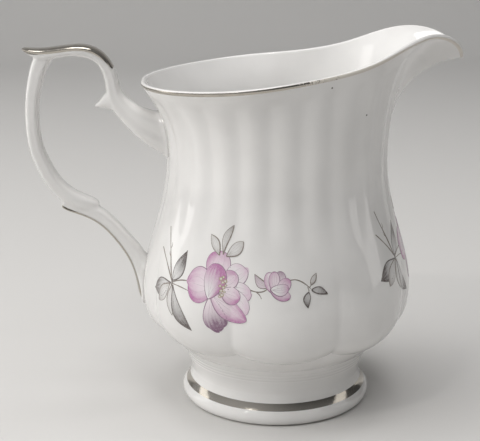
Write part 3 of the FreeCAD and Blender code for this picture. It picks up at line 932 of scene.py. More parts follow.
    @staticmethod
    def inset(lower: Ring, ring: Ring, upper: Ring, depth: float) -> Ring:
        """Ring moved inwards from its surface.

        Args:
            lower: A ring just below.
            ring: The ring to move.
            upper: A ring just above.
            depth: How far to move it.

        Returns:
            The moved ring.
        """
        def moved(bearing: float) -> Flat:
            """The move is square to the line from the ring below to the ring above.

            Args:
                bearing: Bearing in radians.

            Returns:
                The radius and the height there.
            """
            below, here, above = lower(bearing), ring(bearing), upper(bearing)
            along = Vector((above[0] - below[0], above[1] - below[1])).normalized()
            return here[0] - depth * along.y, here[1] + depth * along.x
        return moved

    def seat_rings(self) -> tuple[Ring, Ring]:
        """The outer and inner edges of the seat under the platinum line.

        Returns:
            The two rings.
        """
        lower = self.neck_ring(0.985, self.line_width, True)
        top = self.neck_ring(1.0, self.line_width, True)
        return self.neck_ring(1.0, self.line_width), self.inset(lower, top, top, self.lip)

    def inner_neck_ring(self, share: float) -> Ring:
        """Ring of the inside of the neck.

        Args:
            share: 0 at the waist and 1 at the seat.

        Returns:
            The ring.
        """
        step = 0.015
        shares = (max(share - step, 0), share, share + step)
        rings = [self.neck_ring(at, self.line_width, True) for at in shares]
        if share > 1 - step:
            rings[2] = rings[1]
        return self.inset(*rings, self.wall + (self.lip - self.wall) * blend(0.0, 1.0, share ** 0.75))

    def inner_belly_ring(self, height: float) -> Ring:
        """Ring of the inside of the belly, smooth behind the lobes.

        Args:
            height: Height of the outside that it follows.

        Returns:
            The ring.
        """
        softened = 0.6 * self.lobe_depth * (1 - blend(self.belly_height - 1, 60.0, height))
        rings = [self.belly_ring(at, True) for at in (height - 0.4, height, height + 0.4)]
        return self.inset(*rings, self.wall + softened)

    def skin(self, bearing: float, height: float, lift: float) -> Vector:
        """Point over the belly.

        Args:
            bearing: Bearing in radians.
            height: Height in millimetres.
            lift: How far the point stands off the surface.

        Returns:
            The point in millimetres.
        """
        def on(turn: float, level: float) -> Vector:
            """Point of the belly itself."""
            radius, up = self.belly_ring(level)(turn)
            return Vector((radius * math.cos(turn), radius * math.sin(turn), up))
        here = on(bearing, height)
        turn, rise = 0.008, 0.3
        round_it = on(bearing + turn, height) - on(bearing - turn, height)
        up_it = on(bearing, height + rise) - on(bearing, height - rise)
        return here + round_it.cross(up_it).normalized() * lift


def level_ring(radius: float, height: float) -> Ring:
    """A plain circle."""
    return lambda bearing: (radius, height)


def ring_between(first: Ring, second: Ring, share: float) -> Ring:
    """Ring part of the way from one ring to another.

    Args:
        first: The ring at share 0.
        second: The ring at share 1.
        share: How far to go.

    Returns:
        The ring.
    """
    def ring(bearing: float) -> Flat:
        """Both radius and height go the same share of the way."""
        low, high = first(bearing), second(bearing)
        return low[0] + (high[0] - low[0]) * share, low[1] + (high[1] - low[1]) * share
    return ring


# ---------------------------------------------------------------- jug body and rim

@dataclass
class JugBody:
    """The slip-cast jug: collar, lobed belly, fluted neck, lip seat and inside, in one closed wall."""

    form: JugForm
    wheel: Wheel
    belly_rows: int = 26
    shoulder_rows: int = 38
    neck_rows: int = 44
    inside_rows: int = 26
    base_middle: float = 14.0
    line_zone: tuple[float, float] = (12.42, 15.7)
    ledge_round: float = 0.16
    bowl_levels: tuple[float, float, float] = (31.0, 27.7, 25.5)
    bowl_rows: int = 24

    def collar(self) -> list[Ring]:
        """Rings from the base to the edge of the lobes, finer over the turned lines.

        Returns:
            The rings, from the middle of the base outwards and up.
        """
        form = self.form
        rise = form.collar_height - form.body_base
        low, high = self.line_zone
        levels = steps(form.body_base, low - 0.12, 5) + steps(low, high, 28)
        levels += steps(high + 0.4, form.collar_height, 9)
        base = (0.0, self.base_middle, form.neck_radius)
        rings = [level_ring(radius, form.seam_height) for radius in base]
        rings += [form.collar_ring((level - form.body_base) / rise) for level in levels]
        edge = form.belly_ring(form.collar_height)
        rings += [ring_between(rings[-1], edge, share) for share in (0.3, 0.7)]
        rings += [self._ledge(edge, turn) for turn in (0.12, 0.35, 0.6, 0.85)]
        return rings

    def _ledge(self, edge: Ring, turn: float) -> Ring:
        """Ring of the glaze's rounding over the lobes' lower edge.

        Args:
            edge: The lobes' lower edge.
            turn: 0 below the edge and 1 outside it.

        Returns:
            The ring.
        """
        angle = math.pi / 2 * turn
        out, rise = math.sin(angle) - 0.4, 1.6 * (1 - math.cos(angle))

        def ring(bearing: float) -> Flat:
            """The rounding starts a little inside the edge and swells past it."""
            across, up = edge(bearing)
            return across + self.ledge_round * out, up + self.ledge_round * rise
        return ring

    def outside(self) -> list[Ring]:
        """Rings of the belly and neck up to the seat.

        Returns:
            The rings, from below upwards.
        """
        form = self.form
        low, wide, waist = form.collar_height, form.belly_height, form.waist_height
        belly = steps(low, wide, self.belly_rows, 1.7)[3:]
        shoulder = steps(wide, waist, self.shoulder_rows)[1:-1]
        rings = [form.belly_ring(height) for height in belly + shoulder]
        shares = [1 - (1 - share) ** 1.35 for share in steps(0.0, 1.0, self.neck_rows)]
        return rings + [form.neck_ring(share, form.line_width) for share in shares]

    def inside(self) -> list[Ring]:
        """Rings of the inside.

        Returns:
            The rings, from the seat down to the middle of the floor.
        """
        form = self.form
        top, middle, low = self.bowl_levels
        rings = [form.seat_rings()[1]]
        shares = [1 - share for share in steps(0.0, 1.0, self.inside_rows, 1.25)][1:]
        rings += [form.inner_neck_ring(share) for share in shares]
        falls = steps(0.0, form.waist_height - top, self.inside_rows)[1:]
        rings += [form.inner_belly_ring(form.waist_height - fall) for fall in falls]
        wall = [form.inner_belly_ring(height)(0.0) for height in (top, middle)]
        floor = form.floor_height
        rise = wall[1][1] - floor
        radius = form.inner_belly_ring(low)(0.0)[0]
        bowl = FairCurve([
            *wall, (0.92 * radius, floor + 0.5 * rise), (0.76 * radius, floor + 0.17 * rise),
            (0.5 * radius, floor), (0.0, floor),
        ])
        return rings + [level_ring(point.x, point.y) for point in bowl.even(self.bowl_rows)[1:]]

    def build(self, finish: bpy.types.Material) -> bpy.types.Object:
        """Mould the jug and glaze it.

        Args:
            finish: Its material.

        Returns:
            The piece.
        """
        bm = self.wheel.mould(self.collar() + self.outside() + self.inside())
        piece = finish_mesh(bm, "jug_body_glazed", finish, 50.0)
        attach(piece, BODY)
        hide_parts("jug_body")
        return piece


@dataclass
class RimLine:
    """The rounded lip under its brushed platinum line."""

    form: JugForm
    wheel: Wheel
    round_rows: int = 14
    layer: str = "gilt"

    def _gild(self, bm: bmesh.types.BMesh) -> None:
        """Mark how far round the lip each point lies: 1 outside, 0 on the crest and inside.

        Args:
            bm: The lip's mesh in millimetres.
        """
        marks = bm.verts.layers.float.new(self.layer)
        crest = self.form.lip_ring(math.pi / 2)
        outside = self.form.lip_ring(0.0)
        for vert in bm.verts:
            bearing = round(math.atan2(vert.co.y, vert.co.x), ROUND_BEARING)
            top, edge = Vector(crest(bearing)), Vector(outside(bearing))
            here = Vector((math.hypot(vert.co.x, vert.co.y), vert.co.z))
            run = edge - top
            vert[marks] = min(max((here - top).dot(run) / run.length_squared, 0.0), 1.0)

    def build(self, finish: bpy.types.Material) -> bpy.types.Object:
        """Mould the lip and gild it.

        Args:
            finish: Its material.

        Returns:
            The piece.
        """
        outer, inner = self.form.seat_rings()
        turns = [math.pi * index / self.round_rows for index in range(self.round_rows + 1)]
        rounding = [self.form.lip_ring(turn) for turn in turns]
        bm = self.wheel.mould([outer, *rounding, inner], closed=True)
        self._gild(bm)
        piece = finish_mesh(bm, "rim_line", finish, 60.0)
        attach(piece, BODY)
        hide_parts("rim_platinum_line")
        return piece


# ---------------------------------------------------------------- handle

@dataclass
class Handle:
    """The pressed handle with its joints fettled round, as wet clay leaves them."""

    grain: float = 0.33
    smoothing: int = 7
    slip_swell: float = 0.42
    restore: float = 0.02
    band_edge: float = 0.1
    band_reach: float = 0.3
    band_sink: float = 0.09
    parts: tuple[str, ...] = (
        "handle", "handle_top_platinum", "handle_back_platinum", "upper_slip_joint", "lower_slip_joint",
    )
    bands: tuple[str, ...] = ("handle_top_platinum", "handle_back_platinum")

    def _clay(self) -> bmesh.types.BMesh:
        """Press the members together, with the slip swollen into a fillet.

        Returns:
            One mesh in metres.
        """
        whole = bmesh.new()
        for name in self.parts:
            bm = bmesh.new()
            bm.from_mesh(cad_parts[name].data)
            bmesh.ops.remove_doubles(bm, verts=bm.verts, dist=1e-3 * MM)
            if name.endswith("slip_joint"):
                bm.normal_update()
                for vert in bm.verts:
                    vert.co += vert.normal * self.slip_swell * MM
            mesh = bpy.data.meshes.new("clay_part")
            bm.to_mesh(mesh)
            bm.free()
            whole.from_mesh(mesh)
            bpy.data.meshes.remove(mesh)
        return whole

    def _fettle(self, bm: bmesh.types.BMesh) -> bmesh.types.BMesh:
        """Fuse the members at a fine grain and wipe the joints smooth.

        Args:
            bm: The members; it is freed.

        Returns:
            The fused handle in metres.
        """
        mesh = bpy.data.meshes.new("handle_clay")
        bm.to_mesh(mesh)
        bm.free()
        lump = bpy.data.objects.new("handle_clay", mesh)
        bpy.context.scene.collection.objects.link(lump)
        fuse = lump.modifiers.new("fuse", "REMESH")
        fuse.mode = "VOXEL"
        fuse.voxel_size = self.grain * MM
        depsgraph = bpy.context.evaluated_depsgraph_get()
        fused = bpy.data.meshes.new_from_object(lump.evaluated_get(depsgraph))
        bpy.data.objects.remove(lump)
        bm = bmesh.new()
        bm.from_mesh(fused)
        bpy.data.meshes.remove(fused)
        for _ in range(self.smoothing):
            bmesh.ops.smooth_vert(
                bm, verts=bm.verts, factor=0.5, use_axis_x=True, use_axis_y=True, use_axis_z=True,
            )
        return bm

    def _sink_bands(self, bm: bmesh.types.BMesh) -> None:
        """Let the surface down a little under the two platinum bands, so that they lie proud of it.

        Args:
            bm: The fused handle in metres.
        """
        bm.normal_update()
        metal = bmesh.new()
        for name in self.bands:
            metal.from_mesh(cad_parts[name].data)
        tree = BVHTree.FromBMesh(metal)
        metal.free()
        moves = []
        for vert in bm.verts:
            found = tree.find_nearest(vert.co)
            share = 1 - blend(self.band_edge, self.band_reach, found[3] / MM)
            moves.append(vert.normal * (self.restore - self.band_sink * share) * MM)
        for vert, move in zip(bm.verts, moves):
            vert.co += move

    def build(self, finish: bpy.types.Material) -> bpy.types.Object:
        """Press the handle and glaze it.

        Args:
            finish: Its material.

        Returns:
            The piece.
        """
        bm = self._fettle(self._clay())
        self._sink_bands(bm)
        bmesh.ops.scale(bm, vec=(1 / MM, 1 / MM, 1 / MM), verts=bm.verts)
        bmesh.ops.recalc_face_normals(bm, faces=bm.faces)
        piece = finish_mesh(bm, "handle_glazed", finish, 180.0)
        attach(piece, BODY)
        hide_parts("handle")
        return piece


# ---------------------------------------------------------------- printed spray

class Ink(Enum):
    """Enamels of the transfer print."""

    WHITE = (0.77, 0.765, 0.76)
    BLUSH = (0.77, 0.69, 0.73)
    ROSE = (0.60, 0.37, 0.52)
    ORCHID = (0.42, 0.14, 0.33)
    PLUM = (0.15, 0.045, 0.125)
    MAUVE = (0.24, 0.13, 0.21)
    SAGE = (0.17, 0.135, 0.11)
    UMBER = (0.05, 0.03, 0.026)
    OLIVE = (0.25, 0.17, 0.05)


@dataclass(frozen=True)
class Stem:
    """A drawn line that tapers: points in millimetres across and up, and its widths."""

    points: tuple[Flat, ...]
    thick: float = 0.34
    thin: float = 0.2
    ink: Ink = Ink.SAGE


@dataclass(frozen=True)
class Blade:
    """A leaf or petal that grows from a heart to a tip and swells to either side.

    It may bend, ruffle or be notched. The at_ shares say how strongly the wash gathers at the heart, the
    tip and the sides, and tip_run how quickly it fades away from the tip.
    """

    heart: Flat
    tip: Flat
    left: float
    right: float
    bend: float = 0.0
    fullness: float = 0.55
    peak: float = 1.0
    ruffle: float = 0.0
    phase: float = 0.0
    notch: float = 0.0
    pale: Ink = Ink.BLUSH
    strong: Ink = Ink.ORCHID
    line: Ink = Ink.MAUVE
    at_heart: float = 0.0
    at_tip: float = 0.0
    at_left: float = 0.0
    at_right: float = 0.0
    tip_run: float = 2.4
    outline: float = 0.24
    veins: int = 3

    def point(self, along: float, across: float) -> Vector:
        """Point of the blade.

        Args:
            along: 0 at the heart and 1 at the tip.
            across: -1 at the left edge and 1 at the right edge.

        Returns:
            The point in millimetres, across and up.
        """
        heart, tip = Vector(self.heart), Vector(self.tip)
        run = tip - heart
        side = Vector((run.y, -run.x)).normalized()
        spine = heart + run * along + side * (self.bend * math.sin(math.pi * along))
        swell = max(math.sin(math.pi * along ** self.peak), 0.0) ** self.fullness
        width = (self.right if across > 0 else self.left) * swell
        notch = self.notch * max(1 - 1.6 * abs(across), 0.0)
        wave = self.ruffle * math.cos(6.0 * across + self.phase) - notch
        return spine + side * (width * across) + run.normalized() * (wave * along ** 3)

    def tone(self, along: float, across: float) -> Colour:
        """Ink at a point of the blade: a wash from the heart, the tip or the sides, with fine streaks.

        Args:
            along: 0 at the heart and 1 at the tip.
            across: -1 at the left edge and 1 at the right edge.

        Returns:
            The ink's colour.
        """
        streak = 0.5 + 0.5 * math.cos(19 * across + 4 * along)
        left, right = max(-across, 0.0), max(across, 0.0)
        share = self.at_heart * (1 - along) ** 2 + self.at_tip * along ** self.tip_run
        share += self.at_left * left ** 1.7 + self.at_right * right ** 1.7
        return tint_between(self.pale.value, self.strong.value, share * (0.75 + 0.35 * streak))


def petal(heart: Flat, tip: Flat, left: float, right: float, **more: object) -> Blade:
    """A petal of the open flower or the bud.

    Args:
        heart: Where it grows from, in millimetres across and up.
        tip: Where it ends.
        left: How far it swells to the left.
        right: How far it swells to the right.
        more: The blade's other settings.

    Returns:
        The blade.
    """
    settings = {"ruffle": 0.3, "fullness": 0.45, "peak": 1.25} | more
    return Blade(heart, tip, left, right, **settings)


def leaf(heart: Flat, tip: Flat, left: float, right: float, **more: object) -> Blade:
    """A pale leaf with a drawn edge.

    Args:
        heart: Where it grows from, in millimetres across and up.
        tip: Where it ends.
        left: How far it swells to the left.
        right: How far it swells to the right.
        more: The blade's other settings.

    Returns:
        The blade.
    """
    settings = {
        "pale": Ink.WHITE, "strong": Ink.SAGE, "line": Ink.SAGE, "fullness": 0.95, "peak": 0.85,
        "at_heart": 0.3, "at_tip": 0.5, "at_left": 0.15, "at_right": 0.35, "outline": 0.3,
    } | more
    return Blade(heart, tip, left, right, **settings)


def dark_leaf(heart: Flat, tip: Flat, left: float, right: float, **more: object) -> Blade:
    """A leaf whose tip is shaded dark.

    Args:
        heart: Where it grows from, in millimetres across and up.
        tip: Where it ends.
        left: How far it swells to the left.
        right: How far it swells to the right.
        more: The blade's other settings.

    Returns:
        The blade.
    """
    shading = {"strong": Ink.UMBER, "line": Ink.UMBER, "at_tip": 1.9, "at_heart": 0.16, "tip_run": 1.9}
    return leaf(heart, tip, left, right, **(shading | more))


def pale_petal(heart: Flat, tip: Flat, left: float, right: float, **more: object) -> Blade:
    """A white petal that blushes towards its tip.

    Args:
        heart: Where it grows from, in millimetres across and up.
        tip: Where it ends.
        left: How far it swells to the left.
        right: How far it swells to the right.
        more: The blade's other settings.

    Returns:
        The blade.
    """
    return petal(heart, tip, left, right, **({"pale": Ink.WHITE, "strong": Ink.ROSE} | more))


def bud_petal(heart: Flat, tip: Flat, left: float, right: float, **more: object) -> Blade:
    """A small petal of the bud, finely drawn.

    Args:
        heart: Where it grows from, in millimetres across and up.
        tip: Where it ends.
        left: How far it swells to the left.
        right: How far it swells to the right.
        more: The blade's other settings.

    Returns:
        The blade.
    """
    return petal(heart, tip, left, right, **({"ruffle": 0.15, "outline": 0.22} | more))


STEMS = (
    Stem(((-1.8, 41.5), (-4.0, 46.5), (-5.6, 50.0), (-8.5, 55.4)), 0.6, 0.42),
    Stem(((-2.2, 42.2), (-5.5, 45.6), (-10.2, 49.4)), 0.5, 0.36),
    Stem(((-1.8, 41.5), (1.5, 42.9), (5.0, 43.3)), 0.42, 0.32),
    Stem(((-1.8, 41.3), (2.0, 41.2), (6.0, 40.6)), 0.36, 0.26),
    Stem(((22.4, 43.6), (24.0, 43.2), (25.4, 43.0), (28.2, 44.1)), 0.42, 0.32),
    Stem(((25.0, 43.0), (26.0, 42.2), (26.5, 41.3)), 0.34, 0.2),
    Stem(((33.2, 45.6), (35.2, 46.3), (37.7, 45.4), (39.6, 43.8)), 0.4, 0.28),
    Stem(((39.3, 44.2), (39.7, 44.6), (40.0, 45.2)), 0.28, 0.2),
    Stem(((38.8, 44.2), (39.1, 43.4), (39.0, 42.6)), 0.28, 0.2),
    Stem(((-5.7, 50.0), (-5.1, 50.9), (-5.4, 51.6)), 0.3, 0.16),
    Stem(((-4.6, 48.0), (-5.3, 48.3), (-5.7, 49.2)), 0.28, 0.16),
    Stem(((-1.9, 40.6), (-1.7, 41.6), (-2.0, 42.6)), 0.7, 0.5, Ink.UMBER),
)

LEAVES = (
    dark_leaf((-1.6, 42.2), (2.2, 50.9), 1.4, 2.6, bend=-0.3, peak=0.8, at_right=0.3, fullness=1.1),
    dark_leaf((-2.2, 41.4), (-11.9, 37.3), 2.7, 2.3, bend=-0.1, peak=1.1, fullness=1.1, tip_run=2.4),
    leaf((-2.6, 41.2), (-7.8, 35.3), 2.0, 1.8, bend=0.2, at_tip=0.8, peak=1.3, fullness=0.8, ruffle=0.4),
    leaf((-1.6, 41.0), (-0.6, 32.6), 1.3, 1.8, bend=0.3, peak=1.1, at_left=0.5, fullness=0.85),
    dark_leaf((-1.2, 41.0), (6.6, 30.0), 1.2, 2.6, bend=1.0, at_right=0.5, peak=1.2, fullness=1.1),
    leaf((13.6, 51.4), (9.9, 56.3), 1.3, 1.3, bend=0.3, at_left=0.5, peak=1.1, at_tip=0.6),
    leaf((14.8, 51.7), (17.2, 59.4), 1.0, 1.1, bend=-1.0, at_tip=1.0, peak=1.25),
    leaf((15.8, 51.4), (20.6, 55.4), 1.4, 1.7, bend=0.1, at_tip=0.7, peak=1.2, fullness=0.75, notch=0.3),
    leaf((39.8, 44.8), (41.4, 47.6), 0.7, 0.6, at_tip=0.8),
    dark_leaf((39.9, 43.5), (44.4, 42.0), 1.0, 0.8, bend=-0.3, at_left=0.5),
    dark_leaf((39.0, 42.9), (38.7, 38.9), 0.8, 1.0, bend=0.3, at_right=0.4),
)

FLOWER = (
    petal((12.5, 44.5), (14.6, 52.3), 3.6, 3.9, bend=-0.4, at_left=0.85, at_tip=0.7, notch=-0.3, phase=0.8),
    pale_petal((16.0, 44.0), (22.2, 48.6), 3.3, 2.5, at_tip=0.75, ruffle=0.5, phase=2.0),
    pale_petal((15.8, 43.2), (23.4, 42.4), 2.4, 3.4, at_tip=0.8, ruffle=0.6, phase=1.0),
    pale_petal((14.8, 42.6), (22.6, 37.6), 3.2, 2.8, at_tip=0.7, ruffle=0.55, phase=0.4),
    petal(
        (12.6, 42.7), (4.6, 43.2), 4.8, 4.8, at_tip=0.75, at_left=1.0, at_right=0.3, ruffle=0.6, phase=1.5,
        fullness=0.42, peak=1.1,
    ),
    petal(
        (12.4, 41.2), (14.9, 31.4), 3.4, 3.2, bend=0.5, at_tip=1.5, at_left=0.3, strong=Ink.PLUM,
        peak=2.1, ruffle=0.6, notch=1.3, phase=2.6, fullness=0.34,
    ),
    petal(
        (12.2, 41.4), (22.3, 35.2), 2.5, 3.0, bend=0.4, at_tip=0.8, at_left=0.5, at_right=0.8, ruffle=0.35,
        fullness=0.6, peak=1.15,
    ),
    petal((15.2, 43.2), (19.2, 46.9), 2.7, 2.2, at_left=0.6, at_tip=0.55),
    petal((15.2, 42.2), (20.4, 41.0), 2.1, 2.6, at_right=0.85, at_tip=0.65),
    petal(
        (11.6, 39.8), (13.2, 49.0), 2.6, 4.0, bend=-0.1, pale=Ink.WHITE, at_right=1.25, at_tip=1.2,
        peak=1.5, phase=0.6, tip_run=1.6,
    ),
)

BUD = (
    leaf((28.4, 44.3), (24.4, 47.5), 1.3, 0.8, bend=-0.5, pale=Ink.BLUSH, strong=Ink.MAUVE, at_tip=1.1),
    bud_petal((29.2, 43.0), (28.3, 48.0), 1.6, 1.5, at_left=0.9),
    bud_petal((31.0, 43.2), (31.5, 48.3), 1.7, 1.7, at_tip=1.0, strong=Ink.MAUVE),
    bud_petal((29.8, 43.4), (29.8, 48.2), 1.5, 1.5, at_tip=0.6, at_left=0.6),
    bud_petal((30.6, 42.8), (33.8, 46.3), 1.6, 1.6, at_tip=1.1),
    bud_petal((28.8, 43.9), (34.0, 41.9), 1.2, 1.8, at_tip=0.8, at_right=0.9, ruffle=0.1),
    bud_petal((28.9, 43.8), (33.6, 44.2), 1.5, 1.5, bend=0.4, pale=Ink.WHITE, at_tip=1.0, ruffle=0.1),
)

STAMENS = (
    (14.9, 45.5), (15.6, 46.0), (15.5, 44.6), (16.2, 45.0), (16.4, 43.9), (15.8, 43.3), (15.2, 42.4),
    (16.1, 42.2), (15.5, 41.3), (14.8, 43.6), (14.9, 40.8),
)


@dataclass
class Spray:
    """One transfer print, built on the flat and then laid over the belly."""

    form: JugForm
    node: str
    root: float
    raise_by: float = 0.0
    radius: float = 38.0
    base_lift: float = 0.016
    layer_lift: float = 0.009
    line_share: float = 0.35
    sink: float = 0.03
    vein: tuple[float, float] = (0.13, 0.07)
    vein_places: tuple[float, ...] = (0.06, 0.3, 0.55, 0.84)
    stamen_size: float = 0.52
    stroke_step: float = 0.7
    fill_steps: tuple[float, float] = (1.1, 0.6)
    edge_steps_per_mm: float = 7.0
    layer: str = "ink"

    def __post_init__(self) -> None:
        """Start the flat drawing."""
        self.sheet = bmesh.new()
        self.inks = self.sheet.verts.layers.float_color.new(self.layer)
        self.order = 0.0

    def _patch(
        self, across: int, along: int, shape: Callable[[float, float], tuple[Vector, Colour]],
    ) -> None:
        """Lay one patch of ink.

        Args:
            across: Squares across the patch.
            along: Squares along it.
            shape: Gives the point and the colour for a place from -1 to 1 across and 0 to 1 along.
        """
        made = bmesh.ops.create_grid(self.sheet, x_segments=across, y_segments=along, size=1.0)["verts"]
        lift = self.base_lift + self.layer_lift * self.order
        for vert in made:
            point, colour = shape(vert.co.x, (vert.co.y + 1) / 2)
            vert.co = (point.x, point.y, lift)
            vert[self.inks] = (*colour, 1.0)

    def _stroke(self, points: Sequence[Flat], thick: float, thin: float, ink: Colour) -> None:
        """Draw a line that tapers.

        Args:
            points: The points that it runs through.
            thick: Its width at the first point.
            thin: Its width at the last point.
            ink: Its colour.
        """
        curve = FairCurve(points, 8) if len(points) > 2 else None
        length = sum((Vector(b) - Vector(a)).length for a, b in zip(points, points[1:]))
        count = max(4, round(length / self.stroke_step))

        def shape(across: float, along: float) -> tuple[Vector, Colour]:
            """The width wavers a little, as from a pen.

            Args:
                across: -1 to 1 across the patch.
                along: 0 to 1 along it.

            Returns:
                The point on the flat print and its colour.
            """
            if curve:
                total = curve.knots[-1]
                here, ahead = curve.at(total * along), curve.at(total * min(along + 0.01, 1.0))
                behind = curve.at(total * max(along - 0.01, 0.0))
            else:
                first, last = Vector(points[0]), Vector(points[-1])
                here, ahead, behind = first.lerp(last, along), last, first
            side = Vector((ahead.y - behind.y, behind.x - ahead.x)).normalized()
            width = (thick + (thin - thick) * along) * (0.85 + 0.15 * math.cos(9 * along + length))
            return here + side * (width / 2 * across), ink
        self._patch(1, count, shape)

    def _edge(self, blade: Blade) -> None:
        """Draw round a blade, heavier on one side as a pen would.

        Args:
            blade: The leaf or petal.
        """
        middle = blade.point(0.5, 0.0)
        reach = 0.004

        def rim(along: float) -> Vector:
            """Point of the edge, out along the left side and back along the right one."""
            turn = 2 * math.pi * along
            return blade.point(0.5 - 0.5 * math.cos(turn), -1.0 if along < 0.5 else 1.0)

        def shape(across: float, along: float) -> tuple[Vector, Colour]:
            """The line lies square to the edge, and to the middle where the edge turns back.

            Args:
                across: -1 to 1 across the patch.
                along: 0 to 1 along it.

            Returns:
                The point on the flat print and its colour.
            """
            here = rim(along)
            run = rim(min(along + reach, 1.0)) - rim(max(along - reach, 0.0))
            across_line = Vector((run.y, -run.x)) if run.length > 1e-6 else here - middle
            width = blade.outline * (0.75 + 0.35 * math.cos(2 * math.pi * along + 0.8))
            return here + across_line.normalized() * (width / 2 * across), blade.line.value
        length = (Vector(blade.tip) - Vector(blade.heart)).length
        self._patch(1, max(28, round(length * self.edge_steps_per_mm)), shape)

    def _blade(self, blade: Blade) -> None:
        """Fill a blade, draw its veins and then its edge.

        Args:
            blade: The leaf or petal.
        """
        length = (Vector(blade.tip) - Vector(blade.heart)).length
        rows = max(6, round(length / self.fill_steps[1]))
        columns = max(6, 2 * round((blade.left + blade.right) / self.fill_steps[0]))

        def fill(across: float, along: float) -> tuple[Vector, Colour]:
            """The rows crowd towards the heart and the tip.

            Args:
                across: -1 to 1 across the patch.
                along: 0 to 1 along it.

            Returns:
                The point on the flat print and its colour.
            """
            at = 0.5 - 0.5 * math.cos(math.pi * along)
            return blade.point(at, across), blade.tone(at, across)
        self._patch(columns, rows, fill)
        self.order += self.line_share
        tone = tint_between(blade.line.value, blade.pale.value, 0.45)
        for index in range(blade.veins):
            offset = (index + 0.5) / blade.veins * 2 - 1 if blade.veins > 1 else 0.0
            path = [blade.point(at, 0.62 * offset * blend(0.0, 0.5, at)) for at in self.vein_places]
            self._stroke([tuple(point) for point in path], *self.vein, tone)
        self.order += self.line_share
        self._edge(blade)
        self.order += 1 - 2 * self.line_share

    def _stamen(self, middle: Flat, size: float) -> None:
        """Dot a stamen: a small ring of gold with a paler middle.

        Args:
            middle: Its middle, across and up.
            size: Its radius.
        """
        def shape(across: float, along: float) -> tuple[Vector, Colour]:
            """The patch is wound round into a disc.

            Args:
                across: -1 to 1 across the patch.
                along: 0 to 1 along it.

            Returns:
                The point on the flat print and its colour.
            """
            turn = 2 * math.pi * along
            reach = size * (across + 1) / 2
            tone = tint_between(Ink.WHITE.value, Ink.OLIVE.value, blend(0.25, 0.7, (across + 1) / 2))
            return Vector(middle) + Vector((math.cos(turn), 0.85 * math.sin(turn))) * reach, tone
        self._patch(2, 10, shape)

    def _lay(self) -> None:
        """Give the ink its body, then lay the flat print over the belly."""
        bmesh.ops.remove_doubles(self.sheet, verts=self.sheet.verts, dist=1e-5)
        bmesh.ops.recalc_face_normals(self.sheet, faces=self.sheet.faces)
        down = [face for face in self.sheet.faces if face.normal.z < 0]
        bmesh.ops.reverse_faces(self.sheet, faces=down)
        faces = list(self.sheet.faces)
        made = bmesh.ops.extrude_face_region(self.sheet, geom=faces, use_keep_orig=True)
        for item in made["geom"]:
            if isinstance(item, bmesh.types.BMVert):
                item.co.z = -self.sink
        bmesh.ops.recalc_face_normals(self.sheet, faces=self.sheet.faces)
        root = math.radians(self.root)
        for vert in self.sheet.verts:
            bearing = root + vert.co.x / self.radius
            vert.co = self.form.skin(bearing, vert.co.y + self.raise_by, vert.co.z)

    def build(self, finish: bpy.types.Material) -> bpy.types.Object:
        """Print the spray.

        Args:
            finish: Its material.

        Returns:
            The piece.
        """
        for stem in STEMS:
            self._stroke(stem.points, stem.thick, stem.thin, stem.ink.value)
        for group in (LEAVES, BUD, FLOWER):
            self.order = 1.0
            for blade in group:
                self._blade(blade)
        for index, middle in enumerate(STAMENS):
            self._stamen(middle, self.stamen_size + 0.1 * math.cos(2.3 * index))
        self._lay()
        piece = finish_mesh(self.sheet, self.node + "_print", finish, 35.0)
        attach(piece, BODY)
        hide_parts(self.node)
        return piece


# ---------------------------------------------------------------- foot, bands and slip joints

@dataclass
class FootBandsAndJoints:
    """The foot ring, the platinum bands and the slip joints, which keep the frame's own meshes."""

    finishes: dict[str, bpy.types.Material]

    def dress(self) -> list[bpy.types.Object]:
        """Give every part its finish.

        Returns:
            The parts.
        """
        parts = []
        for name, material in self.finishes.items():
            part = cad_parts[name]
            part.data.materials.clear()
            part.data.materials.append(material)
            parts.append(part)
        return parts


# ---------------------------------------------------------------- studio

@dataclass(frozen=True)
class Lamp:
    """A soft light that looks at the jug: its place and size in metres and its power in watts."""

    name: str
    place: tuple[float, float, float]
    size: Flat
    power: float
    tone: Colour = (1.0, 0.98, 0.95)
    mirrored: bool = True

    def hang(self, aim: Vector) -> None:
        """Hang the light.

        Args:
            aim: The point that it looks at.
        """
        data = bpy.data.lights.new(self.name, "AREA")
        data.shape = "RECTANGLE"
        data.size, data.size_y = self.size
        data.energy = self.power
        data.color = self.tone
        lamp = bpy.data.objects.new(self.name, data)
        lamp.location = self.place
        lamp.visible_glossy = self.mirrored
        lamp.rotation_euler = (aim - Vector(self.place)).to_track_quat("-Z", "Y").to_euler()
        bpy.context.scene.collection.objects.link(lamp)


NEUTRAL = (1.0, 0.99, 0.98)
LAMPS = (
    Lamp("daylight", (-0.72, -0.16, 0.42), (0.80, 0.62), 3.7, (1.0, 0.985, 0.96), mirrored=False),
    Lamp("window", (-0.70, 0.22, 0.28), (0.20, 0.50), 0.42),
    Lamp("side_card", (0.62, -0.02, 0.22), (0.20, 0.40), 0.22),
    Lamp("overhead", (-0.02, 0.0, 0.85), (0.5, 0.4), 2.8, NEUTRAL),
    Lamp("front_top", (0.12, -0.55, 0.90), (0.3, 0.3), 1.4, NEUTRAL, mirrored=False),
    Lamp("ceiling_spot", (-0.44, -0.50, 0.78), (0.10, 0.03), 0.7),
)


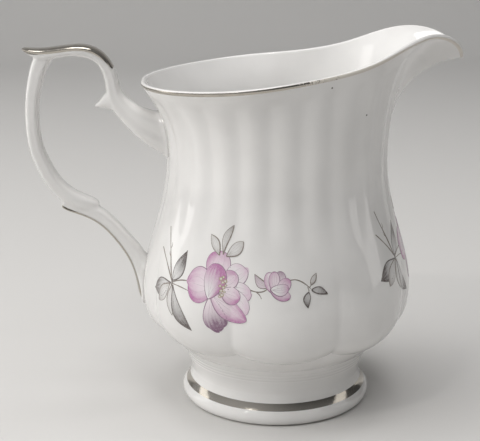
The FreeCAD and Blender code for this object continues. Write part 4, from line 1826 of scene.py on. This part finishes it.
@dataclass
class Studio:
    """Pale paper sweep, soft lights and the camera, in metres and degrees.

    The room's light changes across X and up Z: each row has the two places and then the strength at each.
    """

    sweep_size: float = 2.4
    front: float = -1.1
    back: float = 0.75
    curve_radius: float = 0.35
    wall_rise: float = 1.3
    lamp_aim: tuple[float, float, float] = (0.0, 0.0, 0.055)
    camera_place: tuple[float, float, float] = (-0.02455, -0.31923, 0.1391)
    camera_tilt: float = 74.87
    camera_heading: float = -2.5
    lens: float = 85.46
    room_tone: Colour = (0.97, 0.98, 1.0)
    room_across: tuple[float, float, float, float] = (-0.9, 0.5, 0.42, 0.06)
    room_up: tuple[float, float, float, float] = (0.05, 0.9, 0.0, 0.14)

    def _sweep(self) -> bpy.types.Object:
        """Lay the paper, flat under the jug and curving up behind it.

        Returns:
            The sweep.
        """
        bm = bmesh.new()
        half = self.sweep_size / 2
        edge = bm.edges.new([bm.verts.new((side * half, self.front, 0.0)) for side in (-1, 1)])
        run = bmesh.ops.extrude_edge_only(bm, edges=[edge])
        moved = [item for item in run["geom"] if isinstance(item, bmesh.types.BMVert)]
        bmesh.ops.translate(bm, vec=(0, self.back - self.front, 0), verts=moved)
        last = [item for item in run["geom"] if isinstance(item, bmesh.types.BMEdge)]
        bmesh.ops.spin(
            bm, geom=moved + last, cent=(0, self.back, self.curve_radius), axis=(1, 0, 0),
            angle=math.pi / 2, steps=24,
        )
        top = [vert for vert in bm.verts if vert.co.z > self.curve_radius - 1e-4]
        rise = bmesh.ops.extrude_edge_only(
            bm, edges=[e for e in bm.edges if all(vert in top for vert in e.verts)],
        )
        moved = [item for item in rise["geom"] if isinstance(item, bmesh.types.BMVert)]
        bmesh.ops.translate(bm, vec=(0, 0, self.wall_rise), verts=moved)
        bmesh.ops.remove_doubles(bm, verts=bm.verts, dist=1e-6)
        bmesh.ops.scale(bm, vec=(1 / MM, 1 / MM, 1 / MM), verts=bm.verts)
        floor = finish_mesh(bm, "paper_sweep", PaperSweep().make(), 180.0)
        return floor

    def _camera(self) -> None:
        """Set the camera a little above the jug, in front and slightly towards the handle."""
        data = bpy.data.cameras.new("camera")
        data.sensor_width = 36.0
        data.lens = self.lens
        data.clip_start = 0.02
        camera = bpy.data.objects.new("camera", data)
        camera.location = self.camera_place
        camera.rotation_euler = (math.radians(self.camera_tilt), 0.0, math.radians(self.camera_heading))
        bpy.context.scene.collection.objects.link(camera)
        bpy.context.scene.camera = camera

    def _surroundings(self) -> None:
        """Dim the room round the lights: brighter towards the handle's side and overhead."""
        world = bpy.data.worlds.new("room")
        world.use_nodes = True
        tree = world.node_tree
        background = tree.nodes["Background"]
        heading = tree.nodes.new("ShaderNodeTexCoord")
        split = tree.nodes.new("ShaderNodeSeparateXYZ")
        tree.links.new(heading.outputs["Generated"], split.inputs["Vector"])
        across, up = (tree.nodes.new("ShaderNodeMapRange") for _ in range(2))
        for node, axis, numbers in ((across, "X", self.room_across), (up, "Z", self.room_up)):
            node.interpolation_type = "SMOOTHSTEP"
            tree.links.new(split.outputs[axis], node.inputs["Value"])
            for name, number in zip(("From Min", "From Max", "To Min", "To Max"), numbers):
                node.inputs[name].default_value = number
        total = tree.nodes.new("ShaderNodeMath")
        tree.links.new(across.outputs["Result"], total.inputs[0])
        tree.links.new(up.outputs["Result"], total.inputs[1])
        tree.links.new(total.outputs["Value"], background.inputs["Strength"])
        background.inputs["Color"].default_value = (*self.room_tone, 1.0)
        bpy.context.scene.world = world

    def build(self) -> None:
        """Lay the paper, hang the lights and set the camera."""
        self._sweep()
        self._surroundings()
        for lamp in LAMPS:
            lamp.hang(Vector(self.lamp_aim))
        self._camera()
        bpy.context.scene.view_settings.view_transform = "Standard"


# ---------------------------------------------------------------- the whole jug

KILN_SPECKS = ((11.6, -30.8, 95.8), (21.8, -23.8, 87.5))
SPRAYS = (
    ("flower_spray_near", -140.0, 0.0),
    ("flower_spray_front", -27.5, 5.0),
    ("flower_spray_far", 85.0, 0.0),
)


def main() -> None:
    """Build every piece, dress it and set the scene round it."""
    logging.basicConfig(level=logging.INFO, format="%(message)s")
    form, wheel = JugForm(), Wheel()
    body_glaze = ClearGlaze("glaze_body", specks=KILN_SPECKS).make()
    rim = RimLine(form, wheel)
    rim_platinum = Platinum(
        "platinum_rim", gloss=0.15, worn=0.2, worn_from=-10.0, worn_to=18.0, gilt_layer=rim.layer,
    ).make()
    pieces = [
        JugBody(form, wheel).build(body_glaze),
        rim.build(rim_platinum),
        Handle().build(ClearGlaze("glaze_handle", gloss=0.08).make()),
    ]
    ink = TransferInk().make()
    pieces += [Spray(form, node, root, raise_by).build(ink) for node, root, raise_by in SPRAYS]
    platinum = Platinum("platinum_bands").make()
    slip = FiredSlip().make()
    pieces += FootBandsAndJoints({
        "foot_ring": ClearGlaze("glaze_foot", bare_below=0.35).make(),
        "foot_platinum_band": Platinum("platinum_foot", gloss=0.1, worn=0.08).make(),
        "handle_top_platinum": platinum,
        "handle_back_platinum": platinum,
        "foot_slip_joint": slip,
        "upper_slip_joint": slip,
        "lower_slip_joint": slip,
    }).dress()
    for piece in pieces:
        LOG.info("%s: %d faces", piece.name, len(piece.data.polygons))
    Studio().build()


if __name__ == "__main__":
    main()
